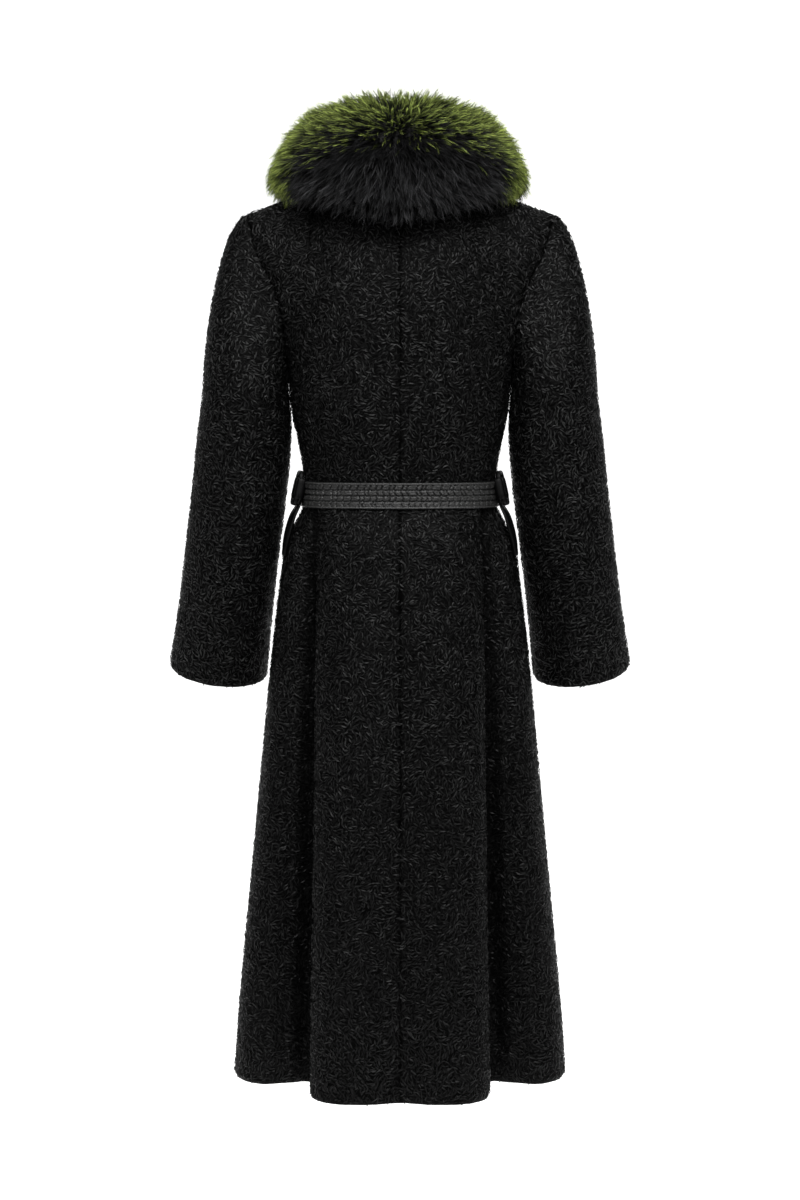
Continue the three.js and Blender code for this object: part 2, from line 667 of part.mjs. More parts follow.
const beltRow = beltRowsOf(waist.level, waist.level)[0];
for (const hand of ['left', 'right']) {
  const sign = hand === 'left' ? 1 : -1;
  const outwards = bodyNormal('back', ringAngleOffset, beltRow).setZ(0).normalize();
  const place = bodyPoint('back', ringAngleOffset, beltRow);
  outwards.x *= sign;
  place.x *= sign;
  const up = new THREE.Vector3(0, 0, 1);
  const along = new THREE.Vector3().crossVectors(up, outwards);
  const basis = new THREE.Matrix4().makeBasis(along, up, outwards);
  const upright = new THREE.Quaternion().setFromRotationMatrix(basis);
  const tilt = new THREE.Quaternion().setFromAxisAngle(new THREE.Vector3(1, 0, 0), -ringTilt);

  const frame = roundedFrame(new THREE.Shape(), ringWidth, ringHeight, ringCorner);
  const holeWidth = ringWidth - 2 * ringBar;
  const holeHeight = ringHeight - 2 * ringBar;
  frame.holes.push(roundedFrame(new THREE.Path(), holeWidth, holeHeight, ringInnerCorner));
  const ring = addPiece(
    `ring_${hand}`,
    new THREE.ExtrudeGeometry(frame, { depth: ringDepth, bevelEnabled: false, curveSegments: 4 }),
    plainLeather,
  );
  ring.position.copy(place).addScaledVector(outwards, ringStandOff).setZ(ringCentreLevel);
  ring.quaternion.copy(upright).multiply(tilt);

  const rivet = addPiece(
    `rivet_${hand}`,
    new THREE.CylinderGeometry(rivetTopRadius, rivetRadius, rivetHeight, 12),
    rivetMetal,
  );
  rivet.geometry.rotateX(Math.PI / 2);
  const rivetNormal = bodyNormal('back', rivetPlace, beltRow).setZ(0).normalize();
  const rivetPoint = bodyPoint('back', rivetPlace, beltRow).setZ(beltTop - rivetDrop);
  rivetPoint.addScaledVector(rivetNormal, beltGap + beltThickness + rivetHeight / 2 + rivetLift);
  rivet.position.set(sign * rivetPoint.x, rivetPoint.y, rivetPoint.z);
  rivetNormal.x *= sign;
  const rivetAlong = new THREE.Vector3().crossVectors(up, rivetNormal);
  rivet.quaternion.setFromRotationMatrix(new THREE.Matrix4().makeBasis(rivetAlong, up, rivetNormal));

  const tailLines = (extra) => [...tailSections].reverse().map(({ level, offset }) => {
    const line = [];
    const above = ringLevels.findIndex((section) => section.level >= level);
    const lower = ringLevels[above - 1].level;
    const share = (level - lower) / (ringLevels[above].level - lower);
    const nextFold = bodyPoint('back', tailPlace + 1, above);
    const foldSpacing = bodyPoint('back', tailPlace, above).distanceTo(nextFold);
    for (let step = 0; step <= tailSteps; step += 1) {
      const column = tailPlace + (tailWidth / foldSpacing) * (step / tailSteps - 0.5);
      const point = bodyPoint('back', column, above - 1).lerp(bodyPoint('back', column, above), share);
      line.push(point.addScaledVector(bodyNormal('back', column, above), offset + extra));
    }
    return line;
  });
  const tailGrids = [tailLines(tailThickness), tailLines(0)];
  const [tailOuter, tailInner] = hand === 'left' ? tailGrids : tailGrids.map(mirrored);
  addPiece(`belt_tail_${hand}`, wallGeometry(tailOuter, tailInner, false), plainLeather);
}

export default coat;
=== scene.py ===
import math

import bpy
import numpy as np
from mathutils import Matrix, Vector


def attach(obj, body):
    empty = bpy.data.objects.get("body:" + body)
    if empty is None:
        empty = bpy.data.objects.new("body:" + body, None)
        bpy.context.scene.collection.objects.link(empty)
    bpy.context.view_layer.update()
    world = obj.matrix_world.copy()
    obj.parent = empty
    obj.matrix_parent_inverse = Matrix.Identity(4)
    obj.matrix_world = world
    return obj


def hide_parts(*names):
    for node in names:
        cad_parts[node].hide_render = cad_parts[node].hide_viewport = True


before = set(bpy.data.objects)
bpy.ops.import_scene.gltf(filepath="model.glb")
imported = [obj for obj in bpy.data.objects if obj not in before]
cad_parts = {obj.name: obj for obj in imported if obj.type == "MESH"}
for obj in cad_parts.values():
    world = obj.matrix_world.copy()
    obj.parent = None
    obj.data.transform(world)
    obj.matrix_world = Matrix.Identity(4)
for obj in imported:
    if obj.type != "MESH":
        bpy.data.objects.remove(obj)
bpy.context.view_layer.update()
print("frame loaded:", len(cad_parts), "nodes")

mm = 0.001  # tables below are in millimetres, meshes in metres
random = np.random.default_rng(7)

# Camera.

camera = {
    "place": (0.0, 3.5, -0.273),
    "target": (0.0, 0.0, -0.546),
    "lens": 80.8,
    "longSide": 36.0,  # sensor, along the picture's height
}


def turnTo(thing, place, target):
    # Puts a camera or lamp at its place and points it at the target.
    thing.location = place
    thing.rotation_mode = "QUATERNION"
    thing.rotation_quaternion = (Vector(target) - Vector(place)).to_track_quat("-Z", "Y")
    bpy.context.scene.collection.objects.link(thing)


def makeCamera():
    data = bpy.data.cameras.new("camera")
    data.lens = camera["lens"]
    data.sensor_width = camera["longSide"]
    seen = bpy.data.objects.new("camera", data)
    turnTo(seen, camera["place"], camera["target"])
    bpy.context.scene.camera = seen


makeCamera()
print("camera set")

# Meshes from arrays.


def gridFaces(rows, columns, isRound=False):
    # Quads of a grid of points whose rows run upwards and whose columns run right to left seen from outside.
    # A round grid joins its last column to its first.
    across = columns if isRound else columns - 1
    row, column = np.meshgrid(np.arange(rows - 1), np.arange(across), indexing="ij")
    a = row * columns + column
    b = row * columns + (column + 1) % columns
    return np.stack([a, a + columns, b + columns, b], -1).reshape(-1, 4)


def makeMesh(name, points, faces, material, uv=None):
    # One mesh from arrays: points (n, 3) in metres, faces (m, 3 or 4), uv one pair for each corner of a face.
    points = np.asarray(points, np.float32).reshape(-1, 3)
    corners = faces.shape[1]
    mesh = bpy.data.meshes.new(name)
    mesh.vertices.add(len(points))
    mesh.vertices.foreach_set("co", points.ravel())
    mesh.loops.add(faces.size)
    mesh.loops.foreach_set("vertex_index", faces.astype(np.int32).ravel())
    mesh.polygons.add(len(faces))
    mesh.polygons.foreach_set("loop_start", np.arange(0, faces.size, corners, dtype=np.int32))
    mesh.polygons.foreach_set("use_smooth", np.ones(len(faces), bool))
    if uv is not None:
        layer = mesh.uv_layers.new(name="OFBake")
        layer.uv.foreach_set("vector", np.asarray(uv, np.float32).ravel())
    mesh.update(calc_edges=True)
    mesh.validate()
    piece = bpy.data.objects.new(name, mesh)
    bpy.context.scene.collection.objects.link(piece)
    mesh.materials.append(material)
    return piece


def mirrorX(points):
    return points * np.array([-1.0, 1.0, 1.0])


def handed(points, faces, isRight):
    # Points and faces of a left piece, or of its mirror image with the faces turned outwards again.
    return (mirrorX(points), faces[:, ::-1]) if isRight else (points, faces)


def fitPiece(piece, node=None):
    # The coat is one body, so every piece rides on it. node is the solid that the piece stands for.
    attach(piece, "root")
    if node:
        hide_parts(node)


def unit(vectors):
    return vectors / np.maximum(np.linalg.norm(vectors, axis=-1, keepdims=True), 1e-9)


def runOf(points):
    # Distance of each point of a row from the first, along the row.
    steps = np.linalg.norm(np.diff(points, axis=0), axis=-1)
    return np.concatenate([[0], np.cumsum(steps)])


def cellAreas(grid):
    # Area of each cell of a grid of points, from the cross product of its diagonals.
    first = grid[1:, 1:] - grid[:-1, :-1]
    second = grid[1:, :-1] - grid[:-1, 1:]
    return np.linalg.norm(np.cross(first, second), axis=-1) / 2


def cubic(start, leave, end, arrive, t):
    # Point at t, 0 to 1, of the cubic that goes from start to end with these slopes.
    return (
        start * (2 * t**3 - 3 * t**2 + 1)
        + leave * (t**3 - 2 * t**2 + t)
        + end * (3 * t**2 - 2 * t**3)
        + arrive * (t**3 - t**2)
    )


def along(knots, values, at):
    # Smooth line through values (k, ...) given at rising knots, read at the places in at. Each stretch is a
    # cubic whose slopes at the knots are the weighted means of the slopes on both sides.
    knots = np.asarray(knots, float)
    values = np.asarray(values, float)
    shape = (-1,) + (1,) * (values.ndim - 1)  # one number for each knot
    step = np.diff(knots).reshape(shape)
    rise = np.diff(values, axis=0) / step
    slope = np.empty_like(values)
    slope[1:-1] = (rise[:-1] * step[1:] + rise[1:] * step[:-1]) / (step[1:] + step[:-1])
    slope[0] = rise[0]
    slope[-1] = rise[-1]
    at = np.clip(at, knots[0], knots[-1])
    low = np.clip(np.searchsorted(knots, at, side="right") - 1, 0, len(knots) - 2)
    wide = step[low]
    t = ((at - knots[low]) / np.diff(knots)[low]).reshape(shape)
    return cubic(values[low], slope[low] * wide, values[low + 1], slope[low + 1] * wide, t)


def spline(before, start, end, after, t):
    # Point between start and end on a curve whose tangents weigh the neighbours by the square roots of the
    # distances, so that it doesn't overshoot where points are close.
    def root(a, b):
        return np.maximum(np.sqrt(np.linalg.norm(b - a, axis=-1, keepdims=True)), 1e-6)

    d0, d1, d2 = root(before, start), root(start, end), root(end, after)
    leave = ((start - before) / d0 - (end - before) / (d0 + d1) + (end - start) / d1) * d1
    arrive = ((end - start) / d1 - (after - start) / (d1 + d2) + (after - end) / d2) * d1
    return cubic(start, leave, end, arrive, t)


def openLine(table, share):
    # Point at a share, 0 to 1, of the way along a row of points that count alike.
    points = np.asarray(table, float)
    points = np.vstack([2 * points[0] - points[1], points, 2 * points[-1] - points[-2]])
    place = np.clip(share, 0, 1) * (len(points) - 3)
    low = np.clip(np.floor(place).astype(int), 0, len(points) - 4)
    t = (place - low)[:, None]
    return spline(points[low], points[low + 1], points[low + 2], points[low + 3], t)


def smooth(low, high, value):
    # Share, 0 to 1, of the way from low to high, soft at both ends. low may be the larger.
    t = np.clip((value - low) / (high - low), 0, 1)
    return t * t * (3 - 2 * t)


def mix(a, b, share):
    return a + (b - a) * share


def normalsOf(grid, isRound=False):
    # Outward directions at the points of a grid: its upward steps cross its sideways steps.
    up = np.gradient(grid, axis=0)
    if isRound:
        side = np.roll(grid, -1, 1) - np.roll(grid, 1, 1)
    else:
        side = np.gradient(grid, axis=1)
    normal = np.cross(up, side)
    return normal / np.maximum(np.linalg.norm(normal, axis=-1, keepdims=True), 1e-12)


def cloud(points, size, seed):
    # Soft random field from about -1 to 1 in space, whose lumps are size across: at each corner of a lattice
    # a slope in a random direction, mixed smoothly between the eight corners around a point.
    at = points / size + seed * 17.31
    cell = np.floor(at).astype(np.int64)
    part = at - cell
    ease = part * part * part * (part * (part * 6 - 15) + 10)
    total = np.zeros(at.shape[:-1])
    for corner in np.ndindex(2, 2, 2):
        spot = cell + corner
        code = spot[..., 0] * 73856093 ^ spot[..., 1] * 19349663 ^ spot[..., 2] * 83492791 ^ seed * 97561
        code = ((code ^ (code >> 13)) * 1274126177) & 0xFFFFFFFF
        code = ((code ^ (code >> 15)) * 2246822519) & 0xFFFFFFFF
        turn = (code & 0xFFFF) / 65536 * 2 * math.pi
        level = ((code >> 16) & 0xFFFF) / 32768 - 1
        flat = np.sqrt(np.maximum(1 - level**2, 0))
        away = part - corner
        slope = flat * np.cos(turn) * away[..., 0] + flat * np.sin(turn) * away[..., 1] + level * away[..., 2]
        weight = np.prod(np.where(np.array(corner) == 1, ease, 1 - ease), axis=-1)
        total += slope * weight
    return total * 1.7


# The coat's outer surface, from the same tables as its source.

coat = {
    # levels and half widths of the rings from underarm to waist, depths behind and in front, squareness
    "bodice": [
        (-245, 144, 108, 128, 2.5), (-276, 142, 107, 126, 2.5), (-307, 139, 104, 121, 2.45),
        (-330, 134, 101, 114, 2.4), (-352, 129.5, 98, 107, 2.3), (-372, 126, 95, 101, 2.25),
        (-390, 124.5, 93.5, 98.5, 2.2), (-407, 124, 93, 98, 2.2),
    ],
    # levels of the rings below the waist, and their share of the way from the waist's oval to the hem
    "skirt": [
        (-424, 0.02), (-440, 0.105), (-456, 0.2), (-474, 0.28), (-500, 0.315), (-550, 0.385), (-610, 0.46),
        (-700, 0.555), (-800, 0.655), (-900, 0.755), (-1000, 0.855), (-1090, 0.94), (-1172, 1),
    ],
    # folds of one half from centre back to centre front: angle on the waist, x and y at the hem
    "folds": [
        (0, 0, 157), (17, 40, 166), (34, 84, 162), (48, 111, 138), (57, 117, 98), (65, 125, 62), (73, 147, 58),
        (80, 178, 64), (87, 207, 42), (95, 219, -2), (104, 207, -46), (114, 180, -74), (126, 147, -88),
        (138, 119, -120), (151, 86, -149), (166, 42, -158), (180, 0, -156),
    ],
    "sideBackSeam": 4,
    "sideSeam": 9,
    "sideFrontSeam": 12,
    "centreFront": 16,
    "wholeRing": 32,
    "neckPoint": (70, 2, 0),
    "shoulderTip": (199, 0, -46),
    "yokeRows": 265,  # mm from underarm to shoulder, for the number of rows
}

# The yoke's two halves: places of the centre line and of the neck point, both lines from the underarm ring
# up, and by how much the shoulder's edge is set off, in mm.
yoke = {
    "back": {
        "centre": 0,
        "neck": 3,
        "line": [(0, 108, -245), (0, 112, -190), (0, 110, -130), (0, 98, -65), (0, 81, -22), (0, 62, 2)],
        "armhole": [
            (144, -3, -245), (146, 42, -220), (151, 58, -182), (166, 52, -136), (184, 37, -98), (194, 22, -62),
            (199, 0, -46),
        ],
        "shift": 0.15,
    },
    "front": {
        "centre": 16,
        "neck": 13,
        "line": [(0, -128, -245), (0, -127, -195), (0, -116, -145), (0, -98, -105), (0, -76, -70)],
        "armhole": [
            (144, -3, -245), (140, -48, -222), (141, -66, -184), (154, -60, -138), (177, -40, -96),
            (192, -24, -62), (199, 0, -46),
        ],
        "shift": -0.15,
    },
}


def ovalRing(halfWidth, back, front, square):
    # The folds' points on an oval ring, in mm: sine and cosine of the fold's angle to the power 2 / square.
    angle = np.radians([fold[0] for fold in coat["folds"]])
    across, deep = np.sin(angle), np.cos(angle)
    deep[np.abs(deep) < 1e-9] = 0
    x = halfWidth * np.sign(across) * np.abs(across) ** (2 / square)
    y = np.where(deep >= 0, back, front) * np.sign(deep) * np.abs(deep) ** (2 / square)
    x[0] = x[-1] = 0
    return np.stack([x, y], -1)


def foldRings():
    # Levels from the hem up, and for each the 32 fold points round the coat, in mm.
    waist = ovalRing(*coat["bodice"][-1][1:])
    hem = np.array([fold[1:] for fold in coat["folds"]], float)
    rings = [(level, mix(waist, hem, flare)) for level, flare in coat["skirt"]]
    rings += [(level, ovalRing(*sizes)) for level, *sizes in coat["bodice"]]
    rings.sort(key=lambda ring: ring[0])
    levels = np.array([level for level, _ in rings], float)
    half = np.stack([ring for _, ring in rings])
    other = half[:, -2:0:-1] * np.array([-1, 1])
    flat = np.concatenate([half, other], 1)
    tall = np.broadcast_to(levels[:, None, None], flat.shape[:2] + (1,))
    return levels, np.concatenate([flat, tall], -1)


ringLevels, ringFolds = foldRings()
underarm = ringLevels[-1]


def ringPoints(places):
    # Points of every ring at the given places, which count folds from the centre back: (rings, places, 3).
    count = coat["wholeRing"]
    low = np.floor(places).astype(int)
    t = (places - low)[None, :, None]
    near = [ringFolds[:, (low + shift) % count] for shift in (-1, 0, 1, 2)]
    return spline(*near, t)


def yokeEdge(side, places):
    # Upper edge of the yoke: a quarter oval along the neckline, then straight along the shoulder seam.
    half = yoke[side]
    middle = np.array(half["line"][-1], float)
    neck, tip = np.array(coat["neckPoint"], float), np.array(coat["shoulderTip"], float)
    span = np.clip((places - half["centre"]) / (half["neck"] - half["centre"]), 0, 1)[:, None]
    turn = span * math.pi / 2
    oval = np.concatenate([
        neck[0] * np.sin(turn),
        mix(neck[1], middle[1], np.cos(turn)),
        mix(neck[2], middle[2], np.maximum(np.cos(turn), 0) ** 1.5),
    ], -1)
    share = np.clip((places - half["neck"]) / (coat["sideSeam"] - half["neck"]), 0, 1)[:, None]
    edge = np.where(span < 1, oval, mix(neck, tip, share))
    edge[:, 1] += half["shift"]
    return edge


def yokePoints(side, places, rises):
    # The yoke between the underarm ring and its upper edge, in mm: (rises, places, 3). Level follows a sine
    # of the rise and the rest a cosine, corrected so that it meets the centre line and the armhole.
    half = yoke[side]
    low = ringPoints(places)[-1][None]
    high = yokeEdge(side, places)[None]
    quarter = rises[:, None] * math.pi / 2
    share = np.concatenate([1 - np.cos(quarter), 1 - np.cos(quarter), np.sin(quarter)], -1)[:, None]

    def offset(table):
        table = np.array(table, float)
        return openLine(table, rises)[:, None] - mix(table[0], table[-1], share)

    across = (places - half["centre"]) / (coat["sideSeam"] - half["centre"])
    across = np.clip(across, 0, 1)[None, :, None]
    off = (1 - across) ** 2 * offset(half["line"]) + across**2 * offset(half["armhole"])
    return mix(low, high, share) + off


def coatSurface(side, places, levels, rises=()):
    # Grid of the coat's outer surface in metres: first the given levels up to the underarm, then the rises.
    # Places beyond the centre are mirrored on the yoke.
    low = along(ringLevels, ringPoints(places), levels)
    low[..., 2] = levels[:, None]
    if len(rises) == 0:
        return low * mm
    centre = yoke[side]["centre"]
    isPast = places < 0 if side == "back" else places > centre
    folded = np.where(isPast, 2 * centre - places, places)
    high = yokePoints(side, folded, rises)
    high[..., 0] *= np.where(isPast, -1, 1)
    return np.concatenate([low, high]) * mm


# Materials of the fur.


def newMaterial(name, **values):
    # A node material with its shader's plain values set on the shader itself.
    material = bpy.data.materials.new(name)
    material.use_nodes = True
    shader = material.node_tree.nodes["Principled BSDF"]
    for key, value in values.items():
        shader.inputs[key.replace("_", " ")].default_value = value
    return material, material.node_tree, shader


def addNode(tree, kind, settings=None, **inputs):
    # A node with its settings and its inputs, each a value or another node's socket.
    node = tree.nodes.new(kind)
    for key, value in (settings or {}).items():
        setattr(node, key, value)
    for key, value in inputs.items():
        isNumbered = key[0] == "i" and key[1:].isdigit()
        socket = node.inputs[int(key[1:]) if isNumbered else key.replace("_", " ")]
        if isinstance(value, bpy.types.NodeSocket):
            tree.links.new(value, socket)
        else:
            socket.default_value = value
    return node


def objectPlace(tree):
    return addNode(tree, "ShaderNodeTexCoord").outputs["Object"]


def noise(tree, place, scale, detail, distortion=0.0):
    size = {"Scale": scale, "Detail": detail, "Distortion": distortion}
    return addNode(tree, "ShaderNodeTexNoise", Vector=place, **size).outputs["Fac"]


def worked(tree, operation, *values):
    # Result of a math node on one to three values.
    inputs = {"i" + str(number): value for number, value in enumerate(values)}
    return addNode(tree, "ShaderNodeMath", {"operation": operation}, **inputs).outputs[0]


def scaled(tree, colour, factor):
    return addNode(tree, "ShaderNodeVectorMath", {"operation": "SCALE"}, i0=colour, Scale=factor).outputs[0]


def ranged(tree, value, fromMin, fromMax, toMin, toMax):
    # A value carried from one range to another and held at its ends.
    limits = {"From_Min": fromMin, "From_Max": fromMax, "To_Min": toMin, "To_Max": toMax}
    return addNode(tree, "ShaderNodeMapRange", i0=value, **limits).outputs[0]


def bumped(tree, height, strength, distance):
    node = addNode(tree, "ShaderNodeBump", Strength=strength, Distance=distance, Height=height)
    return node.outputs["Normal"]


def ramp(tree, value, stops):
    # Colour ramp over value, with stops of (place, colour).
    node = tree.nodes.new("ShaderNodeValToRGB")
    while len(node.color_ramp.elements) < len(stops):
        node.color_ramp.elements.new(0.5)
    for element, (place, colour) in zip(node.color_ramp.elements, stops):
        element.position = place
        element.color = (*colour, 1)
    tree.links.new(value, node.inputs["Fac"])
    return node.outputs["Color"]


curled = {
    "black": (0.0004, 0.0004, 0.0004),
    "grey": (0.0014, 0.0014, 0.0014),
    "light": (0.005, 0.0051, 0.005),
    "swirl": 62.0,  # lumps per metre
    "strand": 9.0,  # strands across one lump
    "patch": 9.0,  # lighter patches per metre
}


def curledMaterial():
    # The pile's depth, under the curls. Its strands are the level lines of a soft random field: a sine of it
    # gives swirling ridges, which are only painted: lighter crests as a painted highlight and black troughs as
    # painted shade. A wide field makes some places lighter.
    material, tree, shader = newMaterial("curledFur", Roughness=0.6, Specular_IOR_Level=0.03)
    place = objectPlace(tree)
    wide = noise(tree, place, curled["swirl"], 1.0, 0.6)
    ridge = worked(tree, "SINE", worked(tree, "MULTIPLY", wide, curled["strand"] * 2 * math.pi))
    height = worked(tree, "MULTIPLY_ADD", ridge, 0.5, 0.5)
    # painted highlight on the ridges' crests and painted shade in the troughs between them
    colour = ramp(tree, height, [(0.12, curled["black"]), (0.6, curled["grey"]), (0.98, curled["light"])])
    shade = ranged(tree, noise(tree, place, curled["patch"], 1.0), 0.3, 0.7, 0.8, 1.15)
    tree.links.new(scaled(tree, colour, shade), shader.inputs["Base Color"])
    return material


def strandMaterial():
    # The curls on top. Their own map goes across from dull to bright strands and up from root to tip.
    material, tree, shader = newMaterial("curledStrands", Roughness=0.42, Specular_IOR_Level=0.08)
    uv = addNode(tree, "ShaderNodeUVMap", {"uv_map": "OFBake"})
    parts = addNode(tree, "ShaderNodeSeparateXYZ", i0=uv.outputs["UV"])
    colour = ramp(tree, parts.outputs["X"], [
        (0.0, (0.0006, 0.0006, 0.0006)), (0.35, (0.005, 0.005, 0.005)), (0.7, (0.013, 0.0132, 0.0131)),
        (1.0, (0.028, 0.0285, 0.028)),
    ])
    rise = ranged(tree, parts.outputs["Y"], 0, 0.6, 0.35, 1)
    tree.links.new(scaled(tree, colour, rise), shader.inputs["Base Color"])
    return material


def skinMaterial():
    # The pelt's inner side: suede in near black, with a fine grain.
    material, tree, shader = newMaterial("furSkin", Roughness=0.85, Specular_IOR_Level=0.2, Sheen_Weight=0.1)
    place = objectPlace(tree)
    patch = noise(tree, place, 25.0, 2.0)
    colour = ramp(tree, patch, [(0.3, (0.006, 0.006, 0.006)), (0.7, (0.012, 0.0115, 0.011))])
    tree.links.new(colour, shader.inputs["Base Color"])
    tree.links.new(bumped(tree, noise(tree, place, 900.0, 3.0), 0.3, 0.0004), shader.inputs["Normal"])
    return material


furLooks = {"pile": curledMaterial(), "strand": strandMaterial(), "skin": skinMaterial()}

# Pile, its curls and the skin under it.

pile = {
    "wall": 6.0,  # mm, skin and pile
    "skin": 1.6,  # mm, thickness of the skin
    "curl": 14.0,  # mm, size of the lumps whose level lines are the curls
    "height": 1.5,  # mm, from valley to crest
    "break": 7.0,  # mm, size of the smaller lumps that break the curls up
    "edge": 3.5,  # mm, over which the pile falls to the skin at hem, cuff and seam
    "drop": 2.2,  # mm, by which it falls there
    "seamDepth": 0.7,  # share of that at a seam
}
curls = {
    "each": 17.0,  # square mm of pile for one strand
    "length": 8.0,
    "width": 1.6,
    "swirl": 18.0,  # mm, over which their direction changes
    "stray": 0.13,  # how far single strands leave that direction
    "bend": 1.0,  # radians from end to end
    "rise": 0.8,  # mm, from root to crest
    "tilt": 0.6,  # radians either way about its own length
    "bright": 0.5,  # mean, 0 to 1, and how much single strands and whole patches differ
    "contrast": 0.21,
    "patchContrast": 0.14,
    "patch": 45.0,  # mm, size of the patches
    "seamFall": 0.7,  # mm, the pile's fall beside a seam from which strands are left out
}


def curlHeight(points):
    # Height of the pile from 0 to 1: the sine of a soft field gives swirls, a smaller field breaks them up.
    base = cloud(points, pile["curl"] * mm, 3) * 1.6 + cloud(points, pile["break"] * mm, 5) * 0.4
    swirl = 0.5 + 0.5 * np.sin(base * math.pi * 1.5)
    breaks = smooth(-0.5, 0.35, cloud(points, pile["break"] * mm, 9))
    return swirl * (0.35 + 0.65 * breaks)


def creaseDepth(u, v, table):
    # Sum of soft troughs (or ridges, if the depth is below 0). Each runs straight from one place to another
    # and fades to nothing at both ends: its section is a bell curve.
    depth = np.zeros(np.broadcast(u, v).shape)
    for u0, v0, u1, v1, width, deep in table:
        run = np.array([u1 - u0, v1 - v0], float)
        span = np.clip(((u - u0) * run[0] + (v - v0) * run[1]) / (run @ run), 0, 1)
        away = np.hypot(u - u0 - span * run[0], v - v0 - span * run[1])
        depth += deep * np.exp(-((away / width) ** 2)) * np.sin(np.pi * np.clip(span, 0.02, 0.98)) ** 0.7
    return depth


def widened(table, wide):
    # The same lines, with their places across turned into mm.
    return [(u0 * wide, v0, u1 * wide, v1, *rest) for u0, v0, u1, v1, *rest in table]


def shellFaces(rows, columns, isRound):
    # Faces of a closed wall from two grids of the same size, outer first, with its rims.
    outer = gridFaces(rows, columns, isRound)
    inner = outer[:, ::-1] + rows * columns
    count = rows * columns
    across = np.arange(columns if isRound else columns - 1)
    after = (across + 1) % columns
    top = (rows - 1) * columns
    rims = [
        np.stack([across, after, after + count, across + count], -1),
        np.stack([after + top, across + top, across + top + count, after + top + count], -1),
    ]
    if not isRound:
        low = np.arange(rows - 1) * columns
        high = low + columns
        end = columns - 1
        rims.append(np.stack([high, low, low + count, high + count], -1))
        rims.append(np.stack([low + end, high + end, high + end + count, low + end + count], -1))
    return np.concatenate([outer, inner] + rims)


def edgeFall(run):
    # How far the pile sinks near both ends of a run, in mm: a quarter round over the edge's reach.
    reach = np.clip(1 - np.minimum(run, run[-1] - run) / pile["edge"], 0, 0.98)
    return (1 - np.sqrt(1 - reach**2)) * pile["drop"]


def makeSkin(name, outer, normal, isRound, isRight):
    # The pelt's skin: a closed wall inside the pile.
    top = outer - normal * (pile["wall"] - pile["skin"]) * mm
    low = outer - normal * pile["wall"] * mm
    points = np.concatenate([top.reshape(-1, 3), low.reshape(-1, 3)])
    points, faces = handed(points, shellFaces(*outer.shape[:2], isRound), isRight)
    return makeMesh(name, points, faces, furLooks["skin"])


def makePile(name, outer, normal, sink, isRound, isRight):
    # The pile: the outer surface with curls, whose borders are turned down to the skin. sink is how much
    # lower it lies near an edge.
    height = curlHeight(mirrorX(outer) if isRight else outer)
    lower = (1 - height) * pile["height"] + sink
    points = outer - normal * lower[..., None] * mm
    foot = outer - normal * (pile["wall"] - pile["skin"]) * mm
    points = np.concatenate([foot[:1], points, foot[-1:]])
    if not isRound:
        left = np.concatenate([foot[:1, :1], foot[:, :1], foot[-1:, :1]])
        right = np.concatenate([foot[:1, -1:], foot[:, -1:], foot[-1:, -1:]])
        points = np.concatenate([left, points, right], 1)
    points, faces = handed(points, gridFaces(*points.shape[:2], isRound), isRight)
    return makeMesh(name, points, faces, furLooks["pile"])


